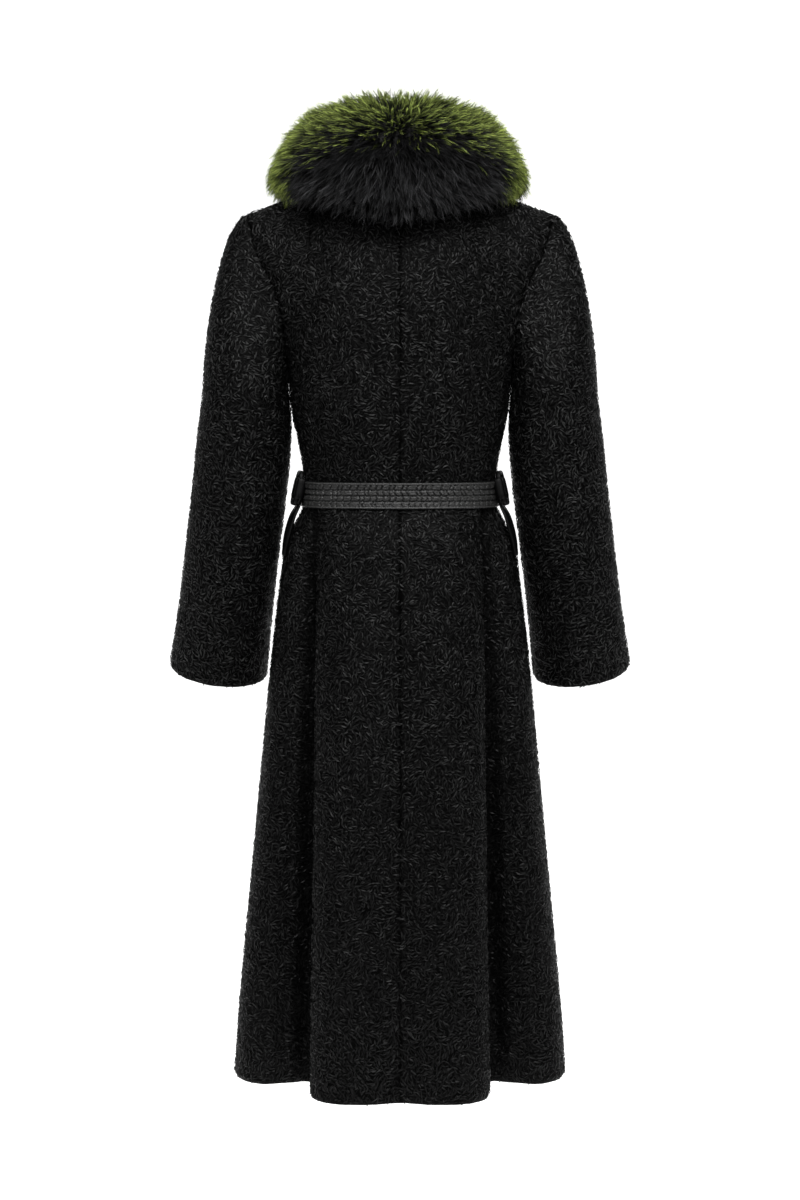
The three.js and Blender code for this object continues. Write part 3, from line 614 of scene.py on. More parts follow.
def makeCurls(name, outer, normal, sink, shade, isRight):
    # Short strands on the pile, each a bent ribbon that is widest in the middle. Their directions follow a
    # soft random field, so that they swirl, and each is turned a little about its own length. shade is painted
    # shade that darkens their colour, 0 to 1; below 0 it is painted light that brightens them.
    area = cellAreas(outer)
    # evenly spread: each cell gets as many as its share of the running total says
    share = np.cumsum(area.ravel() / (curls["each"] * mm * mm)) + random.random()
    picked = np.searchsorted(share, np.arange(1, int(share[-1])))
    row, column = np.unravel_index(picked, area.shape)
    up, side = random.uniform(0.12, 0.88, (2, len(picked), 1))

    def between(grid):
        low = mix(grid[row, column], grid[row, column + 1], side)
        return mix(low, mix(grid[row + 1, column], grid[row + 1, column + 1], side), up)

    # few strands right beside a seam, which so shows as a fine line
    fall = between(sink[..., None])[:, 0]
    isKept = (fall < curls["seamFall"]) | (random.random(len(picked)) < 0.2)
    row, column, up, side, fall = row[isKept], column[isKept], up[isKept], side[isKept], fall[isKept]
    count = len(row)
    paintedShading = between(shade[..., None])[:, 0]
    out = unit(between(normal))
    root = between(outer) - out * fall[:, None] * mm
    if isRight:
        root, out = mirrorX(root), mirrorX(out)
    size = curls["swirl"] * mm
    flow = np.stack([cloud(root, size, 11), cloud(root, size, 12), cloud(root, size, 13)], -1)
    flow += random.normal(0, curls["stray"], flow.shape)
    flow = unit(flow - out * (flow * out).sum(-1, keepdims=True))
    across = np.cross(out, flow)
    length = curls["length"] * mm * random.uniform(0.65, 1.35, count)
    bend = random.normal(0, 1, count) * curls["bend"]
    turns = bend[:, None] * np.array([-0.36, 0, 0.36])
    steps = flow[:, None] * np.cos(turns)[..., None] + across[:, None] * np.sin(turns)[..., None]
    steps *= (length / 3)[:, None, None]
    line = np.concatenate([np.zeros((count, 1, 3)), np.cumsum(steps, 1)], 1)
    line += (root - line[:, 1:3].mean(1))[:, None]
    rise = np.array([-1.1, 0.3, 0.45, -0.6]) * curls["rise"] + random.normal(0, 0.3, (count, 1))
    line += out[:, None] * rise[..., None] * mm
    tangent = unit(np.gradient(line, axis=1))
    tilt = random.uniform(-curls["tilt"], curls["tilt"], count)[:, None, None]
    wide = np.cross(out[:, None], tangent) * np.cos(tilt) + out[:, None] * np.sin(tilt)
    wide = wide * (curls["width"] * mm * random.uniform(0.7, 1.3, count))[:, None, None] / 2
    left, right = line - wide, line + wide
    points = np.stack([line[:, 0], left[:, 1], right[:, 1], left[:, 2], right[:, 2], line[:, 3]], 1)
    one = np.array([(0, 2, 1), (1, 2, 4), (1, 4, 3), (3, 4, 5)])
    faces = (np.arange(count)[:, None, None] * 6 + one[:, ::-1]).reshape(-1, 3)
    bright = random.normal(curls["bright"], curls["contrast"], count)
    bright += curls["patchContrast"] * cloud(root, curls["patch"] * mm, 21)
    # painted shade darkens the strands in the folds and low on the skirt, and painted light brightens them on
    # the sleeves
    bright = np.clip(bright * (1 - paintedShading), 0.02, 0.97)
    across = bright[:, None] + np.array([1, 0, 2, 0, 2, 1]) * 0.002
    rows = np.array([0.01, 0.33, 0.33, 0.66, 0.66, 0.99])
    uv = np.stack([across, np.broadcast_to(rows, (count, 6))], -1)
    return makeMesh(name, points, faces, furLooks["strand"], uv.reshape(-1, 2)[faces.ravel()])


# Body panels.

panels = {
    # side, first and last place, size of a cell at the hem, in mm
    "back": ("back", 0, coat["sideBackSeam"], 4.4),
    "sideBack": ("back", coat["sideBackSeam"], coat["sideSeam"], 4.6),
    "sideFront": ("front", coat["sideSeam"], coat["sideFrontSeam"], 6.2),
    "front": ("front", coat["sideFrontSeam"], coat["centreFront"] + 1, 6.2),
}
lap = {"start": 14.14, "end": 14.94, "depth": 7.2}  # places, and mm by which the left front passes under

# Creases: place and level where each starts and ends, half width and depth, in mm. One place counts as
# foldWide.
foldWide = 26.0
creases = {
    "backLeft": [
        (3.2, -345, 1.2, -372, 9, 1.2), (3.9, -300, 2.6, -318, 11, 0.9), (0.6, -440, 0.9, -600, 13, 1.3),
        (2.3, -452, 2.6, -690, 16, 1.5), (1.3, -700, 1.5, -1130, 20, 1.8), (2.9, -640, 3.1, -1000, 17, 1.1),
    ],
    "backRight": [
        (2.9, -338, 0.8, -366, 8, 1.0), (3.9, -322, 2.2, -335, 10, 1.1), (0.7, -446, 1.1, -660, 14, 1.2),
        (2.4, -448, 2.2, -620, 15, 1.6), (1.5, -640, 1.2, -1080, 21, 1.9), (3.0, -700, 3.1, -1120, 16, 1.0),
    ],
    "sideBackLeft": [
        (5.0, -380, 8.2, -352, 9, 1.3), (6.0, -345, 8.6, -318, 10, 1.1), (7.4, -470, 7.2, -800, 14, 1.6),
        (8.3, -520, 8.2, -1020, 16, 1.4),
    ],
    "sideBackRight": [
        (5.1, -376, 8.0, -345, 9, 1.2), (5.6, -330, 8.4, -305, 11, 1.0), (7.5, -455, 7.6, -720, 13, 1.5),
        (8.2, -600, 8.4, -1080, 17, 1.5),
    ],
    "sideFrontLeft": [
        (9.4, -372, 11.6, -348, 9, 1.3), (10.6, -470, 10.5, -900, 15, 1.4), (9.9, -262, 11.8, -244, 12, 1.2),
    ],
    "sideFrontRight": [
        (9.4, -366, 11.7, -340, 10, 1.2), (10.4, -455, 10.6, -820, 16, 1.5), (9.8, -268, 11.6, -250, 12, 1.1),
    ],
    "frontLeft": [
        (12.3, -352, 13.9, -336, 9, 1.0), (12.9, -440, 12.8, -760, 15, 1.4), (13.6, -520, 13.5, -1000, 18, 1.1),
    ],
    "frontRight": [
        (12.4, -346, 14.2, -352, 10, 1.1), (12.8, -450, 12.9, -820, 14, 1.3), (14.6, -440, 14.9, -700, 14, 1.2),
    ],
}

# The folds beside the large flute lie on the side back seams and count for the panels on both sides.
flutes = {
    "Left": [(4.65, -404, 4.75, -640, 12, 12.0), (4.75, -400, 4.85, -1350, 16.5, 25.0)],
    "Right": [(4.6, -402, 4.7, -600, 12, 11.0), (4.7, -402, 4.9, -1345, 17, 26.0)],
}
# Painted shade on the strands: full in the flutes' deepest folds, and growing towards the hem.
foldPaintedShade = 13.0  # mm of fold depth at which the strands are dull
hemPaintedShade = 0.24  # and how much duller they are at the hem than at the waist


def panelGrid(name, hand):
    # Outer grid and normals of one panel, with its creases and, on the left front, the step down under the
    # lap, and the painted shade on its strands, which darkens them in the flutes' folds and towards the hem.
    # Both hands are made on the wearer's left.
    side, first, last, cell = panels[name]
    hem = ringPoints(np.linspace(first, last, 200))[0]
    wide = np.linalg.norm(np.diff(hem, axis=0), axis=1).sum()
    places = np.linspace(first, last, int(round(wide / cell)) + 1)
    step = places[1] - places[0]
    places = np.concatenate([[first - step], places, [last + step]])
    levels = np.linspace(ringLevels[0], underarm, int(round((underarm - ringLevels[0]) / cell)) + 1)
    rises = np.linspace(0, 1, int(round(coat["yokeRows"] / cell)) + 1)[1:]
    grid = coatSurface(side, places, levels, rises)
    normal = normalsOf(grid)
    tall = np.concatenate([levels, mix(underarm, 0, rises)])[:, None]
    across = places[None] * foldWide
    fold = creaseDepth(across, tall, widened(flutes[hand], foldWide) if side == "back" else [])
    sink = fold + creaseDepth(across, tall, widened(creases[name + hand], foldWide))
    if name == "front" and hand == "Left":
        sink = sink + lap["depth"] * smooth(lap["start"], lap["end"], places)[None]
    grid = grid - normal * sink[..., None] * mm
    # the columns past the sides only serve the normals, so that pieces meet without a gap
    # painted shade: the strands are darkened where a flute's fold lies deep and towards the hem
    shade = np.clip(fold / foldPaintedShade + hemPaintedShade * smooth(-480, -1150, tall), 0, 0.95)
    return grid[:, 1:-1], normalsOf(grid)[:, 1:-1], shade[:, 1:-1]


def everyNth(count, step):
    return np.unique(np.concatenate([np.arange(0, count, step), [count - 1]]))


def makePanel(name, hand, node):
    grid, normal, shade = panelGrid(name, hand)
    isRight = hand == "Right"
    rows, columns = grid.shape[:2]
    up, side = runOf(grid[:, columns // 2]) / mm, runOf(grid[rows // 3]) / mm
    sink = np.maximum(edgeFall(up)[:, None], edgeFall(side)[None] * pile["seamDepth"])
    hair = makePile(name + "Pile" + hand, grid, normal, sink, False, isRight)
    strands = makeCurls(name + "Curls" + hand, grid, normal, sink, shade, isRight)
    picked = np.ix_(everyNth(rows, 4), everyNth(columns, 3))
    skin = makeSkin(name + "Skin" + hand, grid[picked], normal[picked], False, isRight)
    finishCloth(skin, [hair, strands], node)


def finishCloth(skin, hair, node):
    # The skin stands for the solid, which is hidden, and the pile rides on the coat with it.
    fitPiece(skin, node)
    for piece in hair:
        fitPiece(piece)


panelNodes = {"back": "back_", "sideBack": "side_back_", "sideFront": "side_front_", "front": "front_"}
for panelName, node in panelNodes.items():
    for hand in ("Left", "Right"):
        makePanel(panelName, hand, node + hand.lower())
print("body panels made")

# Sleeves.

sleeve = {
    # rings from underarm to cuff: centre, half width across and half depth front to back
    "rings": [
        (199.5, -2, -276, 56, 69), (200.5, -4, -312, 59.5, 67), (204, -8, -352, 61.5, 65),
        (209, -15, -400, 61.5, 63.5), (216, -26, -452, 61.5, 62.5), (223, -39, -504, 61.5, 62),
        (230, -53, -556, 62, 62), (237, -68, -606, 63.5, 62.5), (242.5, -79, -645, 65.5, 63),
    ],
    "capReach": 0.42,
    # painted light: the strands' colour is brightened on the sleeves
    "shade": -0.2,  # the strands are a little brighter than on the body
    "armholeGap": -0.6,  # tucked in under the body's pile
    "cell": 4.8,
    "length": 405,  # mm, below the underarm and above it, for the number of rows
    "capLength": 190,
    # creases: turn (0 underarm, 0.25 back, 0.5 outer side) and distance up from the cuff in mm, half width
    # and depth in mm. A whole turn counts as 390 mm.
    "round": 390.0,
    "creasesLeft": [
        (0.02, 205, 0.2, 168, 9, 2.0), (0.03, 232, 0.17, 205, 8, 1.5), (0.3, 226, 0.47, 250, 12, 1.2),
        (0.8, 190, 0.97, 214, 9, 2.2), (0.76, 232, 0.96, 246, 9, 1.7), (0.12, 330, 0.22, 372, 12, 1.3),
        (0.36, 60, 0.4, 150, 14, 0.9),
    ],
    "creasesRight": [
        (0.03, 212, 0.18, 182, 8, 1.8), (0.02, 240, 0.21, 208, 9, 1.6), (0.28, 244, 0.44, 232, 12, 1.1),
        (0.79, 200, 0.98, 206, 9, 2.0), (0.78, 226, 0.97, 252, 8, 1.6), (0.1, 342, 0.21, 366, 11, 1.4),
        (0.33, 70, 0.36, 140, 14, 0.8),
    ],
}


def sleeveRings(places, turns):
    # Rings square to the sleeve's axis, in mm: centre plus across * cosine and deep * sine of the angle.
    # places count rings from the underarm down; turns run from 0 at the underarm up the back.
    table = np.array(sleeve["rings"], float)
    knots = np.arange(len(table))
    found = along(knots, table, places)
    ahead = along(knots, table[:, :3], np.clip(places + 0.5, 0, knots[-1]))
    behind = along(knots, table[:, :3], np.clip(places - 0.5, 0, knots[-1]))
    axis = (ahead - behind) / np.linalg.norm(ahead - behind, axis=-1, keepdims=True)
    across = np.array([1.0, 0, 0]) - axis * axis[:, :1]
    across /= np.linalg.norm(across, axis=-1, keepdims=True)
    deep = np.cross(across, axis)
    angle = math.pi * (1 - 2 * turns)[None, :, None]
    ring = found[:, None, :3] + across[:, None] * found[:, None, 3:4] * np.cos(angle)
    return ring + deep[:, None] * found[:, None, 4:5] * np.sin(angle), axis


def sleeveCap(shares, turns):
    # The cap, in mm: a cubic from the armhole, which it leaves outwards at the top and downwards at the
    # underarm, to the first ring, where it arrives along the sleeve.
    ring, axis = sleeveRings(np.array([0.0]), turns)
    rise = np.where(turns <= 0.5, turns, 1 - turns) * 2
    seam = np.array([float(coat["sideSeam"])])
    back = yokePoints("back", seam, rise)[:, 0]
    front = yokePoints("front", seam, rise)[:, 0]
    start = np.where((turns <= 0.5)[:, None], back, front) + np.array([sleeve["armholeGap"], 0, 0])
    topness = ((1 - np.cos(2 * math.pi * turns)) / 2)[:, None]
    reach = np.linalg.norm(ring[0] - start, axis=-1, keepdims=True)
    leave = mix(np.array([0.0, 0, -1]), np.array([1.0, 0, -0.2]), topness)
    leave *= reach * mix(1, sleeve["capReach"], topness) / np.linalg.norm(leave, axis=-1, keepdims=True)
    return cubic(start, leave, ring[0], axis[0] * reach, shares[:, None, None])


def makeSleeve(hand, node):
    cell = sleeve["cell"]
    turns = np.linspace(0, 1, int(sleeve["round"] / cell), endpoint=False)
    places = np.linspace(len(sleeve["rings"]) - 1, 0, int(sleeve["length"] / cell))
    shares = np.linspace(1, 0, int(sleeve["capLength"] / cell))[1:]
    grid = np.concatenate([sleeveRings(places, turns)[0], sleeveCap(shares, turns)]) * mm
    normal = normalsOf(grid, True)
    up = runOf(grid[:, grid.shape[1] // 4]) / mm
    table = widened(sleeve["creases" + hand], sleeve["round"])
    sink = creaseDepth(turns[None] * sleeve["round"], up[:, None], table)
    grid = grid - normal * sink[..., None] * mm
    normal = normalsOf(grid, True)
    isRight = hand == "Right"
    edge = np.tile(edgeFall(up)[:, None], grid.shape[1])
    hair = makePile("sleevePile" + hand, grid, normal, edge, True, isRight)
    picked = np.ix_(everyNth(grid.shape[0], 4), np.arange(0, grid.shape[1], 3))
    skin = makeSkin("sleeveSkin" + hand, grid[picked], normal[picked], True, isRight)
    closed, closedNormal, closedEdge = (np.concatenate([x, x[:, :1]], 1) for x in (grid, normal, edge))
    # painted light: the same brightening for every strand of the sleeve
    shade = np.full(closedEdge.shape, sleeve["shade"])
    strands = makeCurls("sleeveCurls" + hand, closed, closedNormal, closedEdge, shade, isRight)
    finishCloth(skin, [hair, strands], node)


for hand in ("Left", "Right"):
    makeSleeve(hand, "sleeve_" + hand.lower())
print("sleeves made")

# The collar: a roll of pelt, and long hair on it.

collar = {
    "centreY": -6,
    "shift": 2.5,  # towards the wearer's left
    # one row for each angle round the neck from the centre back: radii of foot, top, widest place and lower
    # edge, and their levels
    "sections": [
        (0, 68, 9, 106, 103, 168, 20, 152, -65), (30, 67, 9, 105, 103, 168, 20, 152, -52),
        (60, 66, 8, 105, 89, 168, 14, 154, -35), (90, 66, 8, 104, 80, 169, 3, 156, -28),
        (120, 65, 0, 100, 61, 160, -20, 148, -60), (145, 64, -25, 92, 34, 146, -49, 134, -104),
        (164, 64, -48, 88, 6, 134, -66, 122, -116), (175, 68, -58, 88, -12, 122, -70, 112, -108),
    ],
    "end": 171,  # degrees, where the roll's pelt ends in front
    "endRound": 9,  # degrees over which it closes
    # how deep the pelt lies inside the hair's outline at each of the section's nine points
    "inset": [3, 6, 14, 24, 27, 27, 24, 16, 4],
    "sideInset": 0.48,  # share of that at the sides and in front
    "clearance": 6.5,  # above the coat
    "crest": 4.0,  # place round the section from which the hair falls to both sides
    "parting": (0, 139, 71),  # mm, from which the hair behind radiates
    # level in mm above which the hair's tips are green, by angle, and by how much it varies
    "border": [(0, 60), (30, 52), (48, 37), (60, -8), (71, -200), (180, -200)],
    "borderSpread": 21,
    "calm": 0.62,  # share to which the hair's angle falls at the sides and in front
    # where the hair is unruly, in mm: round the parting, and above it to both sides of the centre
    "wildRound": 32,
    "wildAbove": 24,
    # share by which the hair is shorter: at the parting, within how many mm, and low at the sides
    "partingShort": 0.3,
    "partingReach": 38,
    "lowShort": 0.15,
    # how bright green hair is at the sides, and black hair high up and low down
    "greenSides": 1.35,
    "blackHigh": 0.2,
    "blackLow": 0.9,
}

# The hair's kinds: number of locks and hairs in each, length and width in mm, angle from the pelt at root and
# tip in degrees, radius of a lock and how far its tips come together, and how bright the hair is.
hairKinds = {
    "under": {"locks": 2800, "each": 4, "length": 17, "width": 2.2, "lift": 58, "lie": 28, "bunch": 4.5,
              "close": 0.2, "light": 0.06},
    "guard": {"locks": 9600, "each": 4, "length": 26, "width": 0.66, "lift": 52, "lie": 18, "bunch": 1.7,
              "close": 0.5, "light": 0.33},
    "long": {"locks": 4200, "each": 2, "length": 30, "width": 0.55, "lift": 50, "lie": 18, "bunch": 2.0,
             "close": 0.2, "light": 0.75},
}

# How much hair differs: range of a lock's length and of a hair's length and width, as shares, spread of the
# lean in degrees and of the sideways bend between locks and between hairs, how far ribbons turn about their
# length in radians, and spread of the tip's level in mm by which a hair is green or black.
hairRange = {
    "lock": (0.72, 1.18),
    "length": (0.8, 1.15),
    "width": (0.75, 1.25),
    "lean": (7, 4),
    "bend": (0.12, 0.05),
    "turn": 1.0,
    "tip": 4,
}


def collarRim(angles):
    # Radius and level of the section's nine outline points at angles in degrees: (angles, 9, 2).
    table = np.array(collar["sections"], float)
    neck, foot, top, high, outer, mid, drop, low = along(table[:, 0], table[:, 1:], np.abs(angles)).T
    radius = [
        neck, neck + 2, (neck + top) / 2 - 4, top + 4, (top + outer) / 2 + 8, outer, drop + 8, drop - 12,
        (neck + drop) / 2 - 10,
    ]
    level = [
        foot, (foot + high) / 2, high - 8, high, mix(mid, high, 0.62), mid, (mid + low - 8) / 2, low,
        (foot + low) / 2,
    ]
    return np.stack([np.stack(radius, -1), np.stack(level, -1)], -1)


def collarPoints(angles, turns, inset):
    # Points in mm at pairs of angle and turn: turns count the outline's points from the foot up and over.
    # inset is the share of the table's depth by which they lie inside the outline.
    rim = collarRim(angles)
    step = np.roll(rim, -1, 1) - np.roll(rim, 1, 1)
    outward = unit(np.stack([-step[..., 1], step[..., 0]], -1))
    inset = inset * mix(1, collar["sideInset"], smooth(30, 75, np.abs(angles)))
    rim = rim - outward * np.array(collar["inset"], float)[None, :, None] * inset[:, None, None]
    low = np.floor(turns).astype(int)
    each = np.arange(len(angles))
    near = [rim[each, (low + shift) % 9] for shift in (-1, 0, 1, 2)]
    flat = spline(*near, (turns - low)[:, None])
    turn = np.radians(angles)
    x = collar["shift"] + flat[:, 0] * np.sin(turn)
    return np.stack([x, collar["centreY"] + flat[:, 0] * np.cos(turn), flat[:, 1]], -1)


def collarGrid(angles, turns, inset):
    # The same as a grid (turns, angles, 3).
    turn, angle = np.meshgrid(turns, angles, indexing="ij")
    return collarPoints(angle.ravel(), turn.ravel(), inset).reshape(len(turns), len(angles), 3)


# Grid on which the coat's heights are kept, in mm: its cell, and how far it reaches out and to the back.
heightGrid = {"cell": 3.0, "out": 212, "back": 140, "near": 9}


def coatHeights():
    # Level in mm of the coat's upper surface on a grid of x and y, the highest of the nearest known points.
    rises = np.linspace(0, 1, 50)
    halves = {"back": np.linspace(0, coat["sideSeam"], 60)}
    halves["front"] = np.linspace(coat["sideSeam"], coat["centreFront"], 50)
    known = np.concatenate([yokePoints(side, at, rises).reshape(-1, 3) for side, at in halves.items()])
    cell, back = heightGrid["cell"], heightGrid["back"]
    x, y = np.meshgrid(
        np.arange(0, heightGrid["out"], cell), np.arange(-back, back + 1, cell), indexing="ij"
    )
    flat = np.stack([x.ravel(), y.ravel()], -1)
    away = ((flat[:, None] - known[None, :, :2]) ** 2).sum(-1)
    near = np.argpartition(away, 5, axis=1)[:, :5]
    close = np.take_along_axis(away, near, 1) < heightGrid["near"] ** 2
    return np.where(close, known[near, 2], -400).max(1).reshape(x.shape)


heights = coatHeights()


def liftOff(points, clearance):
    # Points kept at least a clearance above the coat, in mm.
    cell = heightGrid["cell"]
    row = np.clip(np.abs(points[..., 0]) / cell, 0, heights.shape[0] - 1.001)
    column = np.clip((points[..., 1] + heightGrid["back"]) / cell, 0, heights.shape[1] - 1.001)
    i, j = row.astype(int), column.astype(int)
    a, b = row - i, column - j
    level = mix(mix(heights[i, j], heights[i + 1, j], a), mix(heights[i, j + 1], heights[i + 1, j + 1], a), b)
    lifted = points.copy()
    lifted[..., 2] = np.maximum(lifted[..., 2], level + clearance)
    return lifted


def hairMaterial():
    # The hair's own map: across it, black hair lies left of the middle and green hair right of it, each from
    # dull to bright; up it, the hair goes from root to tip.
    material, tree, shader = newMaterial("longFur", Roughness=0.5, Specular_IOR_Level=0.08)
    uv = addNode(tree, "ShaderNodeUVMap", {"uv_map": "OFBake"})
    parts = addNode(tree, "ShaderNodeSeparateXYZ", i0=uv.outputs["UV"])
    across, up = parts.outputs["X"], parts.outputs["Y"]
    green = ramp(tree, up, [
        (0.0, (0.0015, 0.002, 0.0008)), (0.42, (0.007, 0.010, 0.002)), (0.68, (0.08, 0.105, 0.021)),
        (0.88, (0.31, 0.38, 0.085)), (1.0, (0.42, 0.5, 0.14)),
    ])
    black = ramp(tree, up, [
        (0.0, (0.0004, 0.0004, 0.0004)), (0.45, (0.003, 0.003, 0.0031)), (0.8, (0.02, 0.02, 0.021)),
        (1.0, (0.045, 0.046, 0.047)),
    ])
    isGreen = worked(tree, "GREATER_THAN", across, 0.5)
    green = scaled(tree, green, ranged(tree, across, 0.5, 1, 0.12, 2.2))
    black = scaled(tree, black, ranged(tree, across, 0, 0.5, 0.03, 3))
    colour = addNode(tree, "ShaderNodeMix", {"data_type": "VECTOR"}, i0=isGreen, i4=black, i5=green)
    tree.links.new(colour.outputs[1], shader.inputs["Base Color"])
    return material


furLooks["hair"] = hairMaterial()


def makeCollarCore():
    # The pelt rolled round the neck: a closed tube whose ends are drawn together on a quarter circle.
    end, reach = collar["end"], collar["endRound"]
    inner = end - reach
    angles = np.concatenate(
        [np.linspace(-end, -inner, 7)[:-1], np.linspace(-inner, inner, 81), np.linspace(inner, end, 7)[1:]]
    )
    turns = np.linspace(0, 9, 54, endpoint=False)
    grid = collarGrid(angles, turns, 1.0)
    middle = grid.mean(0, keepdims=True)
    away = np.clip(1 - (end - np.abs(angles)) / reach, 0, 1)
    grid = middle + (grid - middle) * np.sqrt(1 - away**2)[None, :, None]
    grid = liftOff(grid, collar["clearance"])
    grid[:, 0] = grid[:, 0].mean(0)
    grid[:, -1] = grid[:, -1].mean(0)
    rows, columns = grid.shape[:2]
    quads = gridFaces(columns, rows, True)
    faces = np.concatenate([quads[:, [0, 1, 2]], quads[:, [0, 2, 3]]])
    # each end's ring is one point, shared by its triangles
    faces = np.where(faces < rows, 0, faces)
    faces = np.where(faces >= (columns - 1) * rows, (columns - 1) * rows, faces)
    isWhole = (faces != np.roll(faces, 1, 1)).all(1)
    used, faces = np.unique(faces[isWhole], return_inverse=True)
    points = np.swapaxes(grid, 0, 1).reshape(-1, 3)[used] * mm
    core = makeMesh("collarPelt", points, faces.reshape(-1, 3), furLooks["skin"])
    fitPiece(core, "collar")
    return core


def hairRoots(count):
    # Random roots all over the pelt that shows, alike close everywhere: angle, turn, point and normal.
    angles = np.linspace(-collar["end"] + 1, collar["end"] - 1, 140)
    turns = np.linspace(0.7, 7.3, 60)
    area = cellAreas(collarGrid(angles, turns, 1.0))
    picked = random.choice(area.size, count, p=area.ravel() / area.sum())
    row, column = np.unravel_index(picked, area.shape)
    angle = angles[column] + random.random(count) * (angles[1] - angles[0])
    turn = turns[row] + random.random(count) * (turns[1] - turns[0])
    point = collarPoints(angle, turn, 1.0)
    up = collarPoints(angle, turn + 0.05, 1.0) - point
    side = collarPoints(angle + 0.5, turn, 1.0) - point
    return angle, turn, liftOff(point, collar["clearance"]), unit(np.cross(side, up)), up


def hairFlow(angle, turn, point, normal, up):
    # Direction in which the hair lies: away from the parting behind, and from the crest to both sides in
    # front, mixed between 62 and 95 degrees round the neck.
    isOut = turn + random.normal(0, 0.45, len(turn)) > collar["crest"]
    down = unit(up * np.where(isOut, 1, -1)[:, None])
    spread = point - np.array(collar["parting"], float)
    far = np.linalg.norm(spread, axis=-1, keepdims=True)
    # at the front ends the hair also lies towards the centre and covers them
    ahead = np.stack([np.cos(np.radians(angle)), -np.sin(np.radians(angle)), 0 * angle], -1)
    ahead *= np.sign(angle)[:, None] * smooth(150, 168, np.abs(angle))[:, None] * 1.6
    # below the parting the hair falls more than it spreads
    spread[:, 0] *= mix(1, 0.5, smooth(25, -25, spread[:, 2]))
    flow = mix(unit(spread), down, smooth(62, 95, np.abs(angle))[:, None]) + ahead
    # and it is unruly round the parting and above it
    above = 0.9 * np.exp(-((point[:, :1] / collar["wildAbove"]) ** 2)) * (spread[:, 2:] > 0)
    wild = np.maximum(np.exp(-((far / collar["wildRound"]) ** 2)), above)
    flow += random.normal(0, 1, flow.shape) * (0.2 + 0.55 * wild)
    return unit(flow - normal * (flow * normal).sum(-1, keepdims=True))


def makeHair(name, kind, core):
    # Ribbons of three segments that narrow to a point, in locks whose tips come together. Each hair starts
    # steep and bends over to the flow. They belong to the pelt, core.
    locks, each = kind["locks"], kind["each"]
    angle, turn, point, normal, up = hairRoots(locks)
    flow = hairFlow(angle, turn, point, normal, up)
    near = np.linalg.norm(point - np.array(collar["parting"], float), axis=-1)
    length = kind["length"] * random.uniform(*hairRange["lock"], locks)
    length *= 1 - collar["partingShort"] * np.exp(-((near / collar["partingReach"]) ** 2))
    # shorter where it would spread over the shoulders
    length *= 1 - collar["lowShort"] * smooth(5.4, 6.6, turn) * smooth(48, 66, np.abs(angle))
    count = locks * each
    lock = np.repeat(np.arange(locks), each)
    normal, flow, centre = normal[lock], flow[lock], point[lock]
    across = np.cross(normal, flow)
    away = random.random(count) ** 0.5 * kind["bunch"]
    around = random.uniform(0, 2 * math.pi, count)
    offset = flow * (away * np.cos(around))[:, None] + across * (away * np.sin(around))[:, None]
    reach = length[lock] * random.uniform(*hairRange["length"], count)
    ofLock, ofHair = hairRange["lean"]
    lean = random.normal(0, ofLock, locks)[lock] + random.normal(0, ofHair, count)
    ofLock, ofHair = hairRange["bend"]
    bend = random.normal(0, ofLock, (locks, 2))[lock] + random.normal(0, ofHair, (count, 2))
    shares = np.array([0, 0.34, 0.68, 1.0])
    line = [centre]
    calm = mix(1, collar["calm"], smooth(50, 85, np.abs(angle)))[lock]
    for start, end in zip(shares[:-1], shares[1:]):
        tilt = np.radians((mix(kind["lift"], kind["lie"], (start + end) / 2) + lean) * calm)[:, None]
        swing = bend[:, :1] + bend[:, 1:] * (start + end)
        ahead = unit(flow + across * swing) * np.cos(tilt) + normal * np.sin(tilt)
        line.append(line[-1] + ahead * (reach * (end - start))[:, None])
    line = np.stack(line, 1)
    line += offset[:, None] * (1 - kind["close"] * shares)[None, :, None]
    line = liftOff(line, 1.0)
    tangent = unit(np.gradient(line, axis=1))
    side = np.cross(tangent, normal[:, None])
    other = np.cross(tangent, side)
    face = random.uniform(-hairRange["turn"], hairRange["turn"], count)[:, None, None]
    side = unit(unit(side) * np.cos(face) + unit(other) * np.sin(face))
    wide = kind["width"] * random.uniform(*hairRange["width"], count)[:, None] * np.array([1, 0.9, 0.6, 0.0])
    left = line - side * wide[..., None] / 2
    right = line + side * wide[..., None] / 2
    pairs = np.stack([left, right], 2)[:, :3].reshape(count, 6, 3)
    points = np.concatenate([pairs, line[:, 3:]], 1)
    first = np.array([(0, 1, 3), (0, 3, 2), (2, 3, 5), (2, 5, 4), (4, 5, 6)])
    faces = (np.arange(count)[:, None, None] * 7 + first[None]).reshape(-1, 3)
    border = np.interp(np.abs(angle), *np.array(collar["border"], float).T)[lock]
    tip = line[:, 3, 2] + random.normal(0, collar["borderSpread"], locks)[lock]
    tip += random.normal(0, hairRange["tip"], count)
    isGreen = tip > border
    light = kind["light"] * random.gamma(1.6, 0.62, locks)[lock] + random.normal(0, 0.06, count)
    # the green hair is brighter at the sides, and the black hair duller high up, beside the green
    sideways = smooth(45, 75, np.abs(angle))[lock]
    dark = mix(collar["blackHigh"], collar["blackLow"], smooth(35, -55, tip))
    light = np.clip(light * np.where(isGreen, mix(1, collar["greenSides"], sideways), dark), 0.03, 0.97)
    u = np.where(isGreen, 0.51 + light * 0.47, 0.01 + light * 0.47)
    v = np.array([0.01, 0.01, 0.34, 0.34, 0.68, 0.68, 0.99])
    u = u[:, None] + np.array([0, 1, 0, 1, 0, 1, 0.5]) * 0.004
    uv = np.stack([u, np.broadcast_to(v, (count, 7))], -1)
    hair = makeMesh(name, points * mm, faces, furLooks["hair"], uv.reshape(-1, 2)[faces.ravel()])
    hair.parent = core


core = makeCollarCore()
for kindName, kind in hairKinds.items():
    makeHair("collarHair" + kindName.title(), kind, core)
print("collar made")

# The belt: back and front stretch, rings, rivets and tails.

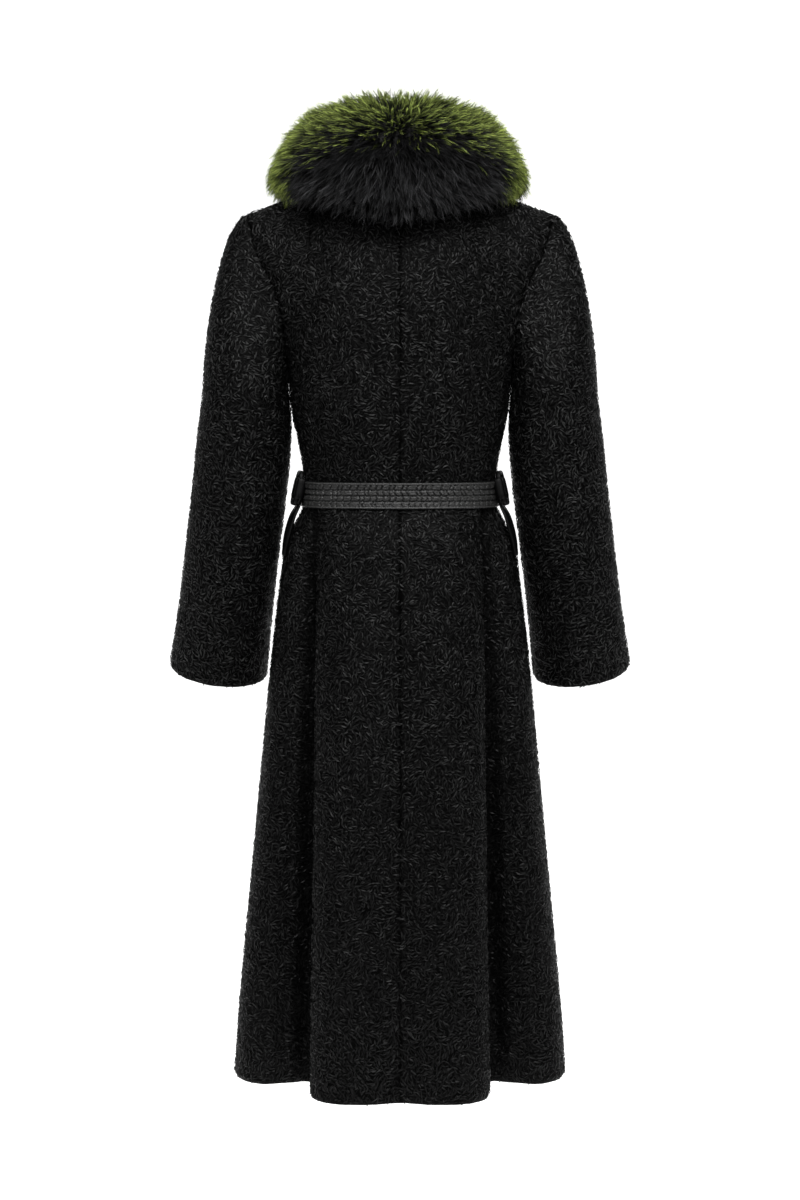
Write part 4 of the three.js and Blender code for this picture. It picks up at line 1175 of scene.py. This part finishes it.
belt = {
    "gap": 0.4,
    "thickness": 3.4,
    "top": -390,
    "bottom": -424,
    "level": -407.0,  # of its middle
    "ringPlace": 7.2,
    "placeGap": 0.06,
    "cell": 0.93,
    "rim": 2.6,  # width of the rolled edges
    "rimRise": 0.5,
    "rows": 4,  # rows of scales
    "scale": 8.6,  # mm, mean length of a scale
    "groove": 0.85,  # half width of the grooves between the scales
    "grooveDepth": 2.0,
    "ridge": 0.3,  # height of the ridges beside the grooves
}

ring = {
    "width": 34.0,
    "height": 46.0,
    "bar": 6.5,
    "depth": 6.5,
    "corner": 9.0,
    "standOff": 6.9,
    "level": -400.0,
    "tilt": 0.23,
}

# Band of a strap's end round the ring's bar; off is its middle's distance from the ring's inner face.
keeper = {"wide": 10.4, "deep": 12.6, "corner": 4.8, "thickness": 1.8, "high": 27.0, "off": 1.1, "bar": 13.75}

rivet = {"place": 6.75, "level": -396.0, "radius": 2.4, "height": 2.0, "offset": 4.2}

tail = {
    "place": 7.35,
    "width": 30.0,
    "tip": 0.28,  # share of the width left at the lower end, on the front side
    "thickness": 3.0,
    # level and offset from the coat of its inner face
    "line": [(-411, 4.4), (-424, 7), (-440, 8.6), (-456, 6), (-474, 2.6), (-487, 1.4)],
}


def leatherMaterial(name, colour, specular, roughness, grain, wear, wrinkle):
    # Leather: fine pores and wrinkles in the bump, a slow change of the finish, and painted shade where the
    # piece is pressed in and a painted highlight where it is raised.
    material, tree, shader = newMaterial(name, Specular_IOR_Level=specular)
    place = objectPlace(tree)
    pressed = addNode(tree, "ShaderNodeAttribute", {"attribute_name": "relief"})
    # painted shade in grooves and pressed lines, and a painted highlight on raised rims, ridges and scale tops
    deep = tuple(0.12 * part for part in colour)
    paintedHighlight = tuple(4.5 * part for part in colour)
    paintedReliefColour = ramp(tree, pressed.outputs["Fac"], [(0.1, deep), (0.61, colour), (0.76, paintedHighlight)])
    tree.links.new(paintedReliefColour, shader.inputs["Base Color"])
    rough = ranged(tree, noise(tree, place, 55.0, 3.0), 0.3, 0.7, roughness - wear, roughness + wear)
    pores = addNode(tree, "ShaderNodeTexVoronoi", Vector=place, Scale=grain).outputs["Distance"]
    height = worked(tree, "MULTIPLY_ADD", noise(tree, place, 260.0, 2.0, 1.2), wrinkle, pores)
    tree.links.new(rough, shader.inputs["Roughness"])
    tree.links.new(bumped(tree, height, 0.5, 0.0003), shader.inputs["Normal"])
    return material


leathers = {
    "embossed": leatherMaterial("embossedLeather", (0.013, 0.013, 0.0127), 0.36, 0.36, 1300.0, 0.07, 9.0),
    "plain": leatherMaterial("plainLeather", (0.0012, 0.0012, 0.0013), 0.14, 0.42, 1500.0, 0.08, 0.8),
}


def metalMaterial():
    material, tree, shader = newMaterial("rivetMetal", Base_Color=(0.42, 0.42, 0.41, 1), Metallic=1.0)
    rough = ranged(tree, noise(tree, objectPlace(tree), 700.0, 2.0), 0, 1, 0.2, 0.38)
    tree.links.new(rough, shader.inputs["Roughness"])
    return material


leathers["metal"] = metalMaterial()


def setRelief(piece, relief):
    # How far the leather is raised, in mm, kept on the mesh as 0 for 1 mm down to 1 for 1 mm up. The
    # leather's material paints shade where it is low and a highlight where it is high.
    layer = piece.data.attributes.new("relief", "FLOAT", "POINT")
    layer.data.foreach_set("value", np.clip(relief * 0.5 + 0.5, 0, 1).astype(np.float32))


def surfaceAt(places, levels):
    # Points and outward normals, in metres, of the coat behind and at its sides at pairs of place and level.
    grid = coatSurface("back", places, levels)
    return grid, normalsOf(grid)


def rimmed(distance, width, rise):
    # A rolled edge: half a circle over its width, with a line pressed beside it.
    bead = np.sqrt(np.clip(1 - (2 * distance / width - 1) ** 2, 0, 1)) * rise
    line = -0.55 * np.exp(-(((distance - width - 0.5) / 0.45) ** 2))
    edge = -0.9 * np.exp(-((distance / 0.7) ** 2))
    return bead + line + edge


def scaleRelief(across, up, height):
    # Embossed scales: grooves along the belt between rows, and in each row cross grooves that only roughly
    # follow those of the next row. Each scale is a low pillow.
    rows, cuts = belt["rows"], 60
    inner = height - 2 * belt["rim"]
    row = np.clip((up - belt["rim"]) / inner * rows, 0, rows - 1e-6)
    index = row.astype(int)
    rowAway = np.minimum(row - index, 1 - (row - index)) * inner / rows
    rowAway = np.where((row < 0.5) | (row > rows - 0.5), 9, rowAway)  # no groove at the outer edges
    edges = np.cumsum(random.uniform(0.6, 1.4, cuts) * belt["scale"]) + across.min() - belt["scale"]
    edges = np.sort(edges + random.normal(0, 1.3, (rows, cuts)), axis=1)
    wavy = across + 0.9 * np.sin(up * 0.9 + index * 2.1)
    crossAway = np.full(across.shape, 9.0)
    for number, ends in enumerate(edges):
        at = wavy[index == number]
        near = np.clip(np.searchsorted(ends, at), 1, cuts - 1)
        crossAway[index == number] = np.minimum(np.abs(at - ends[near - 1]), np.abs(ends[near] - at))
    away = np.minimum(rowAway, crossAway)
    pillow = 0.2 * np.sqrt(np.clip(away / 4, 0, 1))
    pillow += belt["ridge"] * np.exp(-(((away - 2.2 * belt["groove"]) / 0.55) ** 2))
    inside = smooth(belt["rim"] - 0.2, belt["rim"] + 0.9, np.minimum(up, height - up))
    return (pillow - belt["grooveDepth"] * np.exp(-((away / belt["groove"]) ** 2))) * inside


def makeBeltPart(name, first, last, leather, node):
    # A strap on the coat's surface, both faces closed. Its outer face carries the relief.
    isEmbossed = leather == "embossed"
    middle = np.linspace(first, last, 400)
    run = runOf(coatSurface("back", middle, np.array([belt["level"]]))[0]) / mm
    count = int(run[-1] / belt["cell"]) if isEmbossed else int(run[-1] / 4)
    places = np.interp(np.linspace(0, run[-1], count), run, middle)
    height = belt["top"] - belt["bottom"]
    rows = int(height / belt["cell"]) + 1
    levels = np.linspace(belt["bottom"], belt["top"], rows)
    grid, normal = surfaceAt(places, levels)
    across, up = np.meshgrid(np.linspace(0, run[-1], count), levels - belt["bottom"])
    edge = np.minimum(up, height - up)
    relief = rimmed(edge, belt["rim"], belt["rimRise"])
    if isEmbossed:
        relief = relief + scaleRelief(across, up, height)
    else:
        relief = relief + 0.35 * smooth(belt["rim"], belt["rim"] + 5, edge)
    lift = belt["gap"] + belt["thickness"] - 0.6 + relief
    outer = grid + normal * lift[..., None] * mm
    inner = grid + normal * belt["gap"] * mm
    points = np.concatenate([outer.reshape(-1, 3), inner.reshape(-1, 3)])
    strap = makeMesh(name, points, shellFaces(rows, count, False), leathers[leather])
    setRelief(strap, np.concatenate([relief.ravel(), np.zeros(relief.size)]))
    fitPiece(strap, node)


def roundedPath(wide, high, corner, steps):
    # A rounded rectangle round the origin, counterclockwise: quarter circles joined by straight lines.
    turn = np.linspace(0, math.pi / 2, steps)
    path = []
    for number, (sx, sy) in enumerate([(1, 1), (-1, 1), (-1, -1), (1, -1)]):
        angle = turn + number * math.pi / 2
        middle = np.array([sx * (wide / 2 - corner), sy * (high / 2 - corner)])
        path.append(middle + corner * np.stack([np.cos(angle), np.sin(angle)], -1))
    return np.concatenate(path)


def sideFrame(place, standOff, level):
    # A point at the coat's left side, a distance in mm from its surface at the waist, and the level
    # directions from there towards the back and outwards.
    steps = np.array([-1, 0, 1])
    grid, normal = surfaceAt(place + 0.02 * steps, belt["level"] + steps)
    out = unit(normal[1, 1] * np.array([1, 1, 0]))
    point = grid[1, 1] + out * standOff * mm
    point[2] = level * mm
    return point, np.cross([0, 0, 1.0], out), out


def ringFrame():
    # Centre and axes (towards the back, up, outwards) of the left side ring, which leans outwards.
    point, side, out = sideFrame(belt["ringPlace"], ring["standOff"], ring["level"])
    turned = math.cos(ring["tilt"]), math.sin(ring["tilt"])
    up = np.array([0, 0, 1.0]) * turned[0] - out * turned[1]
    front = out * turned[0] + np.array([0, 0, 1.0]) * turned[1]
    return point, side, up, front


def makeRing(hand, node):
    # A rounded rectangle of leather bar, its section a squared oval with a sewn line round it.
    bar = ring["bar"]
    path = roundedPath(ring["width"] - bar, ring["height"] - bar, ring["corner"] - bar / 2, 9)
    ahead = unit(np.roll(path, -1, 0) - np.roll(path, 1, 0))
    away = np.stack([ahead[:, 1], -ahead[:, 0]], -1)
    around = np.linspace(0, 2 * math.pi, 29)[:-1]
    wide = bar / 2 * np.sign(np.cos(around)) * np.abs(np.cos(around)) ** 0.7
    deep = ring["depth"] / 2 * np.sign(np.sin(around)) * np.abs(np.sin(around)) ** 0.7
    deep = deep - 0.35 * np.exp(-((wide / 0.6) ** 2)) * (deep > 0)
    point, side, up, front = ringFrame()
    flat = path[:, None] + away[:, None] * wide[None, :, None]
    solid = (
        point + side * flat[..., :1] * mm + up * flat[..., 1:] * mm
        + front * (deep + ring["depth"] / 2)[None, :, None] * mm
    )
    faces = gridFaces(len(path) + 1, len(around), True)[:, ::-1] % (len(path) * len(around))
    solid, faces = handed(solid.reshape(-1, 3), faces, hand == "Right")
    piece = makeMesh("sideRing" + hand, solid, faces, leathers["plain"])
    setRelief(piece, np.zeros(len(solid)))
    fitPiece(piece, node)


def makeKeeper(name, hand, middle):
    # A strap's end folded round one of the ring's upright bars: a closed band, middle being the distance of
    # the bar from the ring's centre towards the back.
    loop = roundedPath(keeper["wide"], keeper["deep"], keeper["corner"], 5)
    less = 2 * keeper["thickness"]
    small = roundedPath(keeper["wide"] - less, keeper["deep"] - less, 1.2, 5)
    rows = np.linspace(-keeper["high"] / 2, keeper["high"] / 2, 9)
    point, side, up, front = ringFrame()
    bulge = np.sqrt(np.clip(1 - (2 * rows / keeper["high"]) ** 4, 0, 1)) * 0.5 - 0.5

    def band(path, swell):
        flat = path[None] * (1 + swell[:, None, None] * 0.25)
        return (
            point + side * (middle + flat[..., :1]) * mm + up * rows[:, None, None] * mm
            + front * (keeper["off"] + flat[..., 1:]) * mm
        )

    points = np.concatenate([band(loop, bulge).reshape(-1, 3), band(small, bulge * 0).reshape(-1, 3)])
    points, faces = handed(points, shellFaces(len(rows), len(loop), True), hand == "Right")
    piece = makeMesh(name + hand, points, faces, leathers["plain"])
    setRelief(piece, np.zeros(len(points)))
    fitPiece(piece)


def makeRivet(hand, node):
    # A low dome with a rim, turned from a profile.
    point, side, out = sideFrame(rivet["place"], rivet["offset"], rivet["level"])
    turn = np.linspace(0, math.pi / 2, 9)
    radius = np.concatenate([[rivet["radius"] * 0.9], rivet["radius"] * np.cos(turn) + 0.02])
    height = np.concatenate([[-0.2], rivet["height"] * np.sin(turn)])
    around = np.linspace(0, 2 * math.pi, 25)[:-1]
    solid = (
        point + side * (radius[:, None] * np.cos(around))[..., None] * mm
        + np.array([0, 0, 1.0]) * (radius[:, None] * np.sin(around))[..., None] * mm
        + out * height[:, None, None] * mm
    )
    faces = gridFaces(len(radius), len(around), True)[:, ::-1]
    solid, faces = handed(solid.reshape(-1, 3), faces, hand == "Right")
    fitPiece(makeMesh("sideRivet" + hand, solid, faces, leathers["metal"]), node)


def makeTail(hand, node):
    # A flat strap that hangs from the ring against the skirt and narrows downwards, with raised edges and
    # two pressed lines.
    table = np.array(tail["line"], float)[::-1]
    levels = np.linspace(table[0, 0], table[-1, 0], 60)
    offset = along(table[:, 0], table[:, 1], levels)
    spread = np.array([tail["place"], tail["place"] + 1])
    pair = coatSurface("back", spread, levels)
    fold = np.linalg.norm(pair[:, 1] - pair[:, 0], axis=-1) / mm
    shares = np.linspace(0, 1, 31)
    narrow = mix(tail["tip"], 1, ((levels - levels[0]) / (levels[-1] - levels[0])) ** 0.8)
    places = tail["place"] + (tail["width"] / fold)[:, None] * (0.5 - shares[::-1] * narrow[:, None])
    grid = np.stack([coatSurface("back", row, level[None])[0] for row, level in zip(places, levels)])
    normal = normalsOf(grid)
    across = np.abs(shares - 0.5) * tail["width"] * narrow[:, None]
    edge = tail["width"] / 2 * narrow[:, None] - across
    relief = rimmed(edge, 2.4, 0.4) - 0.5 * np.exp(-(((across - 5) / 0.7) ** 2))
    low = np.minimum(levels - levels[0], 40)[:, None]
    relief = relief - 0.8 * np.exp(-((low / 0.8) ** 2))
    lift = offset[:, None] + tail["thickness"] - 0.4 + relief
    outer = grid + normal * lift[..., None] * mm
    inner = grid + normal * offset[:, None, None] * mm
    points = np.concatenate([outer.reshape(-1, 3), inner.reshape(-1, 3)])
    points, faces = handed(points, shellFaces(len(levels), len(shares), False), hand == "Right")
    piece = makeMesh("beltTail" + hand, points, faces, leathers["plain"])
    setRelief(piece, np.concatenate([relief.ravel(), np.zeros(relief.size)]))
    fitPiece(piece, node)


ends = belt["ringPlace"] - belt["placeGap"]
makeBeltPart("beltBackStrap", -ends, ends, "embossed", "belt_back")
starts = belt["ringPlace"] + belt["placeGap"]
makeBeltPart("beltFrontStrap", starts, coat["wholeRing"] - starts, "plain", "belt_front")
for hand in ("Left", "Right"):
    makeRing(hand, "ring_" + hand.lower())
    makeKeeper("keeperBack", hand, keeper["bar"])
    makeKeeper("keeperFront", hand, -keeper["bar"])
    makeRivet(hand, "rivet_" + hand.lower())
    makeTail(hand, "belt_tail_" + hand.lower())
print("belt made")

# Floor and light.

studio = {
    "floor": -1.34,
    "floorColour": (0.86, 0.86, 0.86),
    "glow": 0.84,
    "world": 0.2,
    # place along y and height of the sweep from floor to wall
    "sweep": [(0.6, 0), (-2.5, 0), (-6, 0.15), (-8, 1.0), (-8.6, 3.0), (-8.6, 8)],
    # lamps: place, what they point at, size in metres and watts
    "lamps": {
        "keyLight": ((-0.35, 3.0, 2.7), (0, 0, -0.1), (2.0, 1.4), 168),
        "fillLight": ((0, 3.7, 1.1), (0, 0, -0.3), (2.6, 1.6), 42),
        "leftLight": ((1.1, 1.1, 1.0), (0.1, 0, -0.2), (0.6, 0.8), 12),
        "rightLight": ((-1.1, 1.1, 1.0), (-0.1, 0, -0.2), (0.6, 0.8), 12),
        "frontLight": ((0, -3.0, 2.0), (0, 0, -0.5), (2.0, 1.6), 70),
    },
}


def makeStage():
    # A floor that turns up into a wall behind the coat, in one smooth sweep, bright by itself.
    glow = (*studio["floorColour"], 1)
    paper, _, _ = newMaterial(
        "studioPaper", Base_Color=glow, Roughness=0.9, Emission_Color=glow, Emission_Strength=studio["glow"]
    )
    across = np.linspace(-9, 9, 3)
    profile = np.array([(0, *point) for point in studio["sweep"]], float)
    line = openLine(profile, np.linspace(0, 1, 60))
    x, row = np.meshgrid(across, np.arange(len(line)))
    points = np.stack([x, line[row, 1], line[row, 2] + studio["floor"]], -1)
    floor = makeMesh("studioFloor", points, gridFaces(len(line), 3)[:, ::-1], paper)


def addLight(name, place, target, size, power):
    data = bpy.data.lights.new(name, "AREA")
    data.shape = "RECTANGLE"
    data.size, data.size_y = size
    data.energy = power
    turnTo(bpy.data.objects.new(name, data), place, target)


def makeLights():
    world = bpy.data.worlds.new("studio")
    world.use_nodes = True
    sky = world.node_tree.nodes["Background"]
    sky.inputs["Color"].default_value = (1, 1, 1, 1)
    sky.inputs["Strength"].default_value = studio["world"]
    bpy.context.scene.world = world
    for name, settings in studio["lamps"].items():
        addLight(name, *settings)
    bpy.context.scene.view_settings.view_transform = "Standard"


makeStage()
makeLights()
print("floor and lights set")
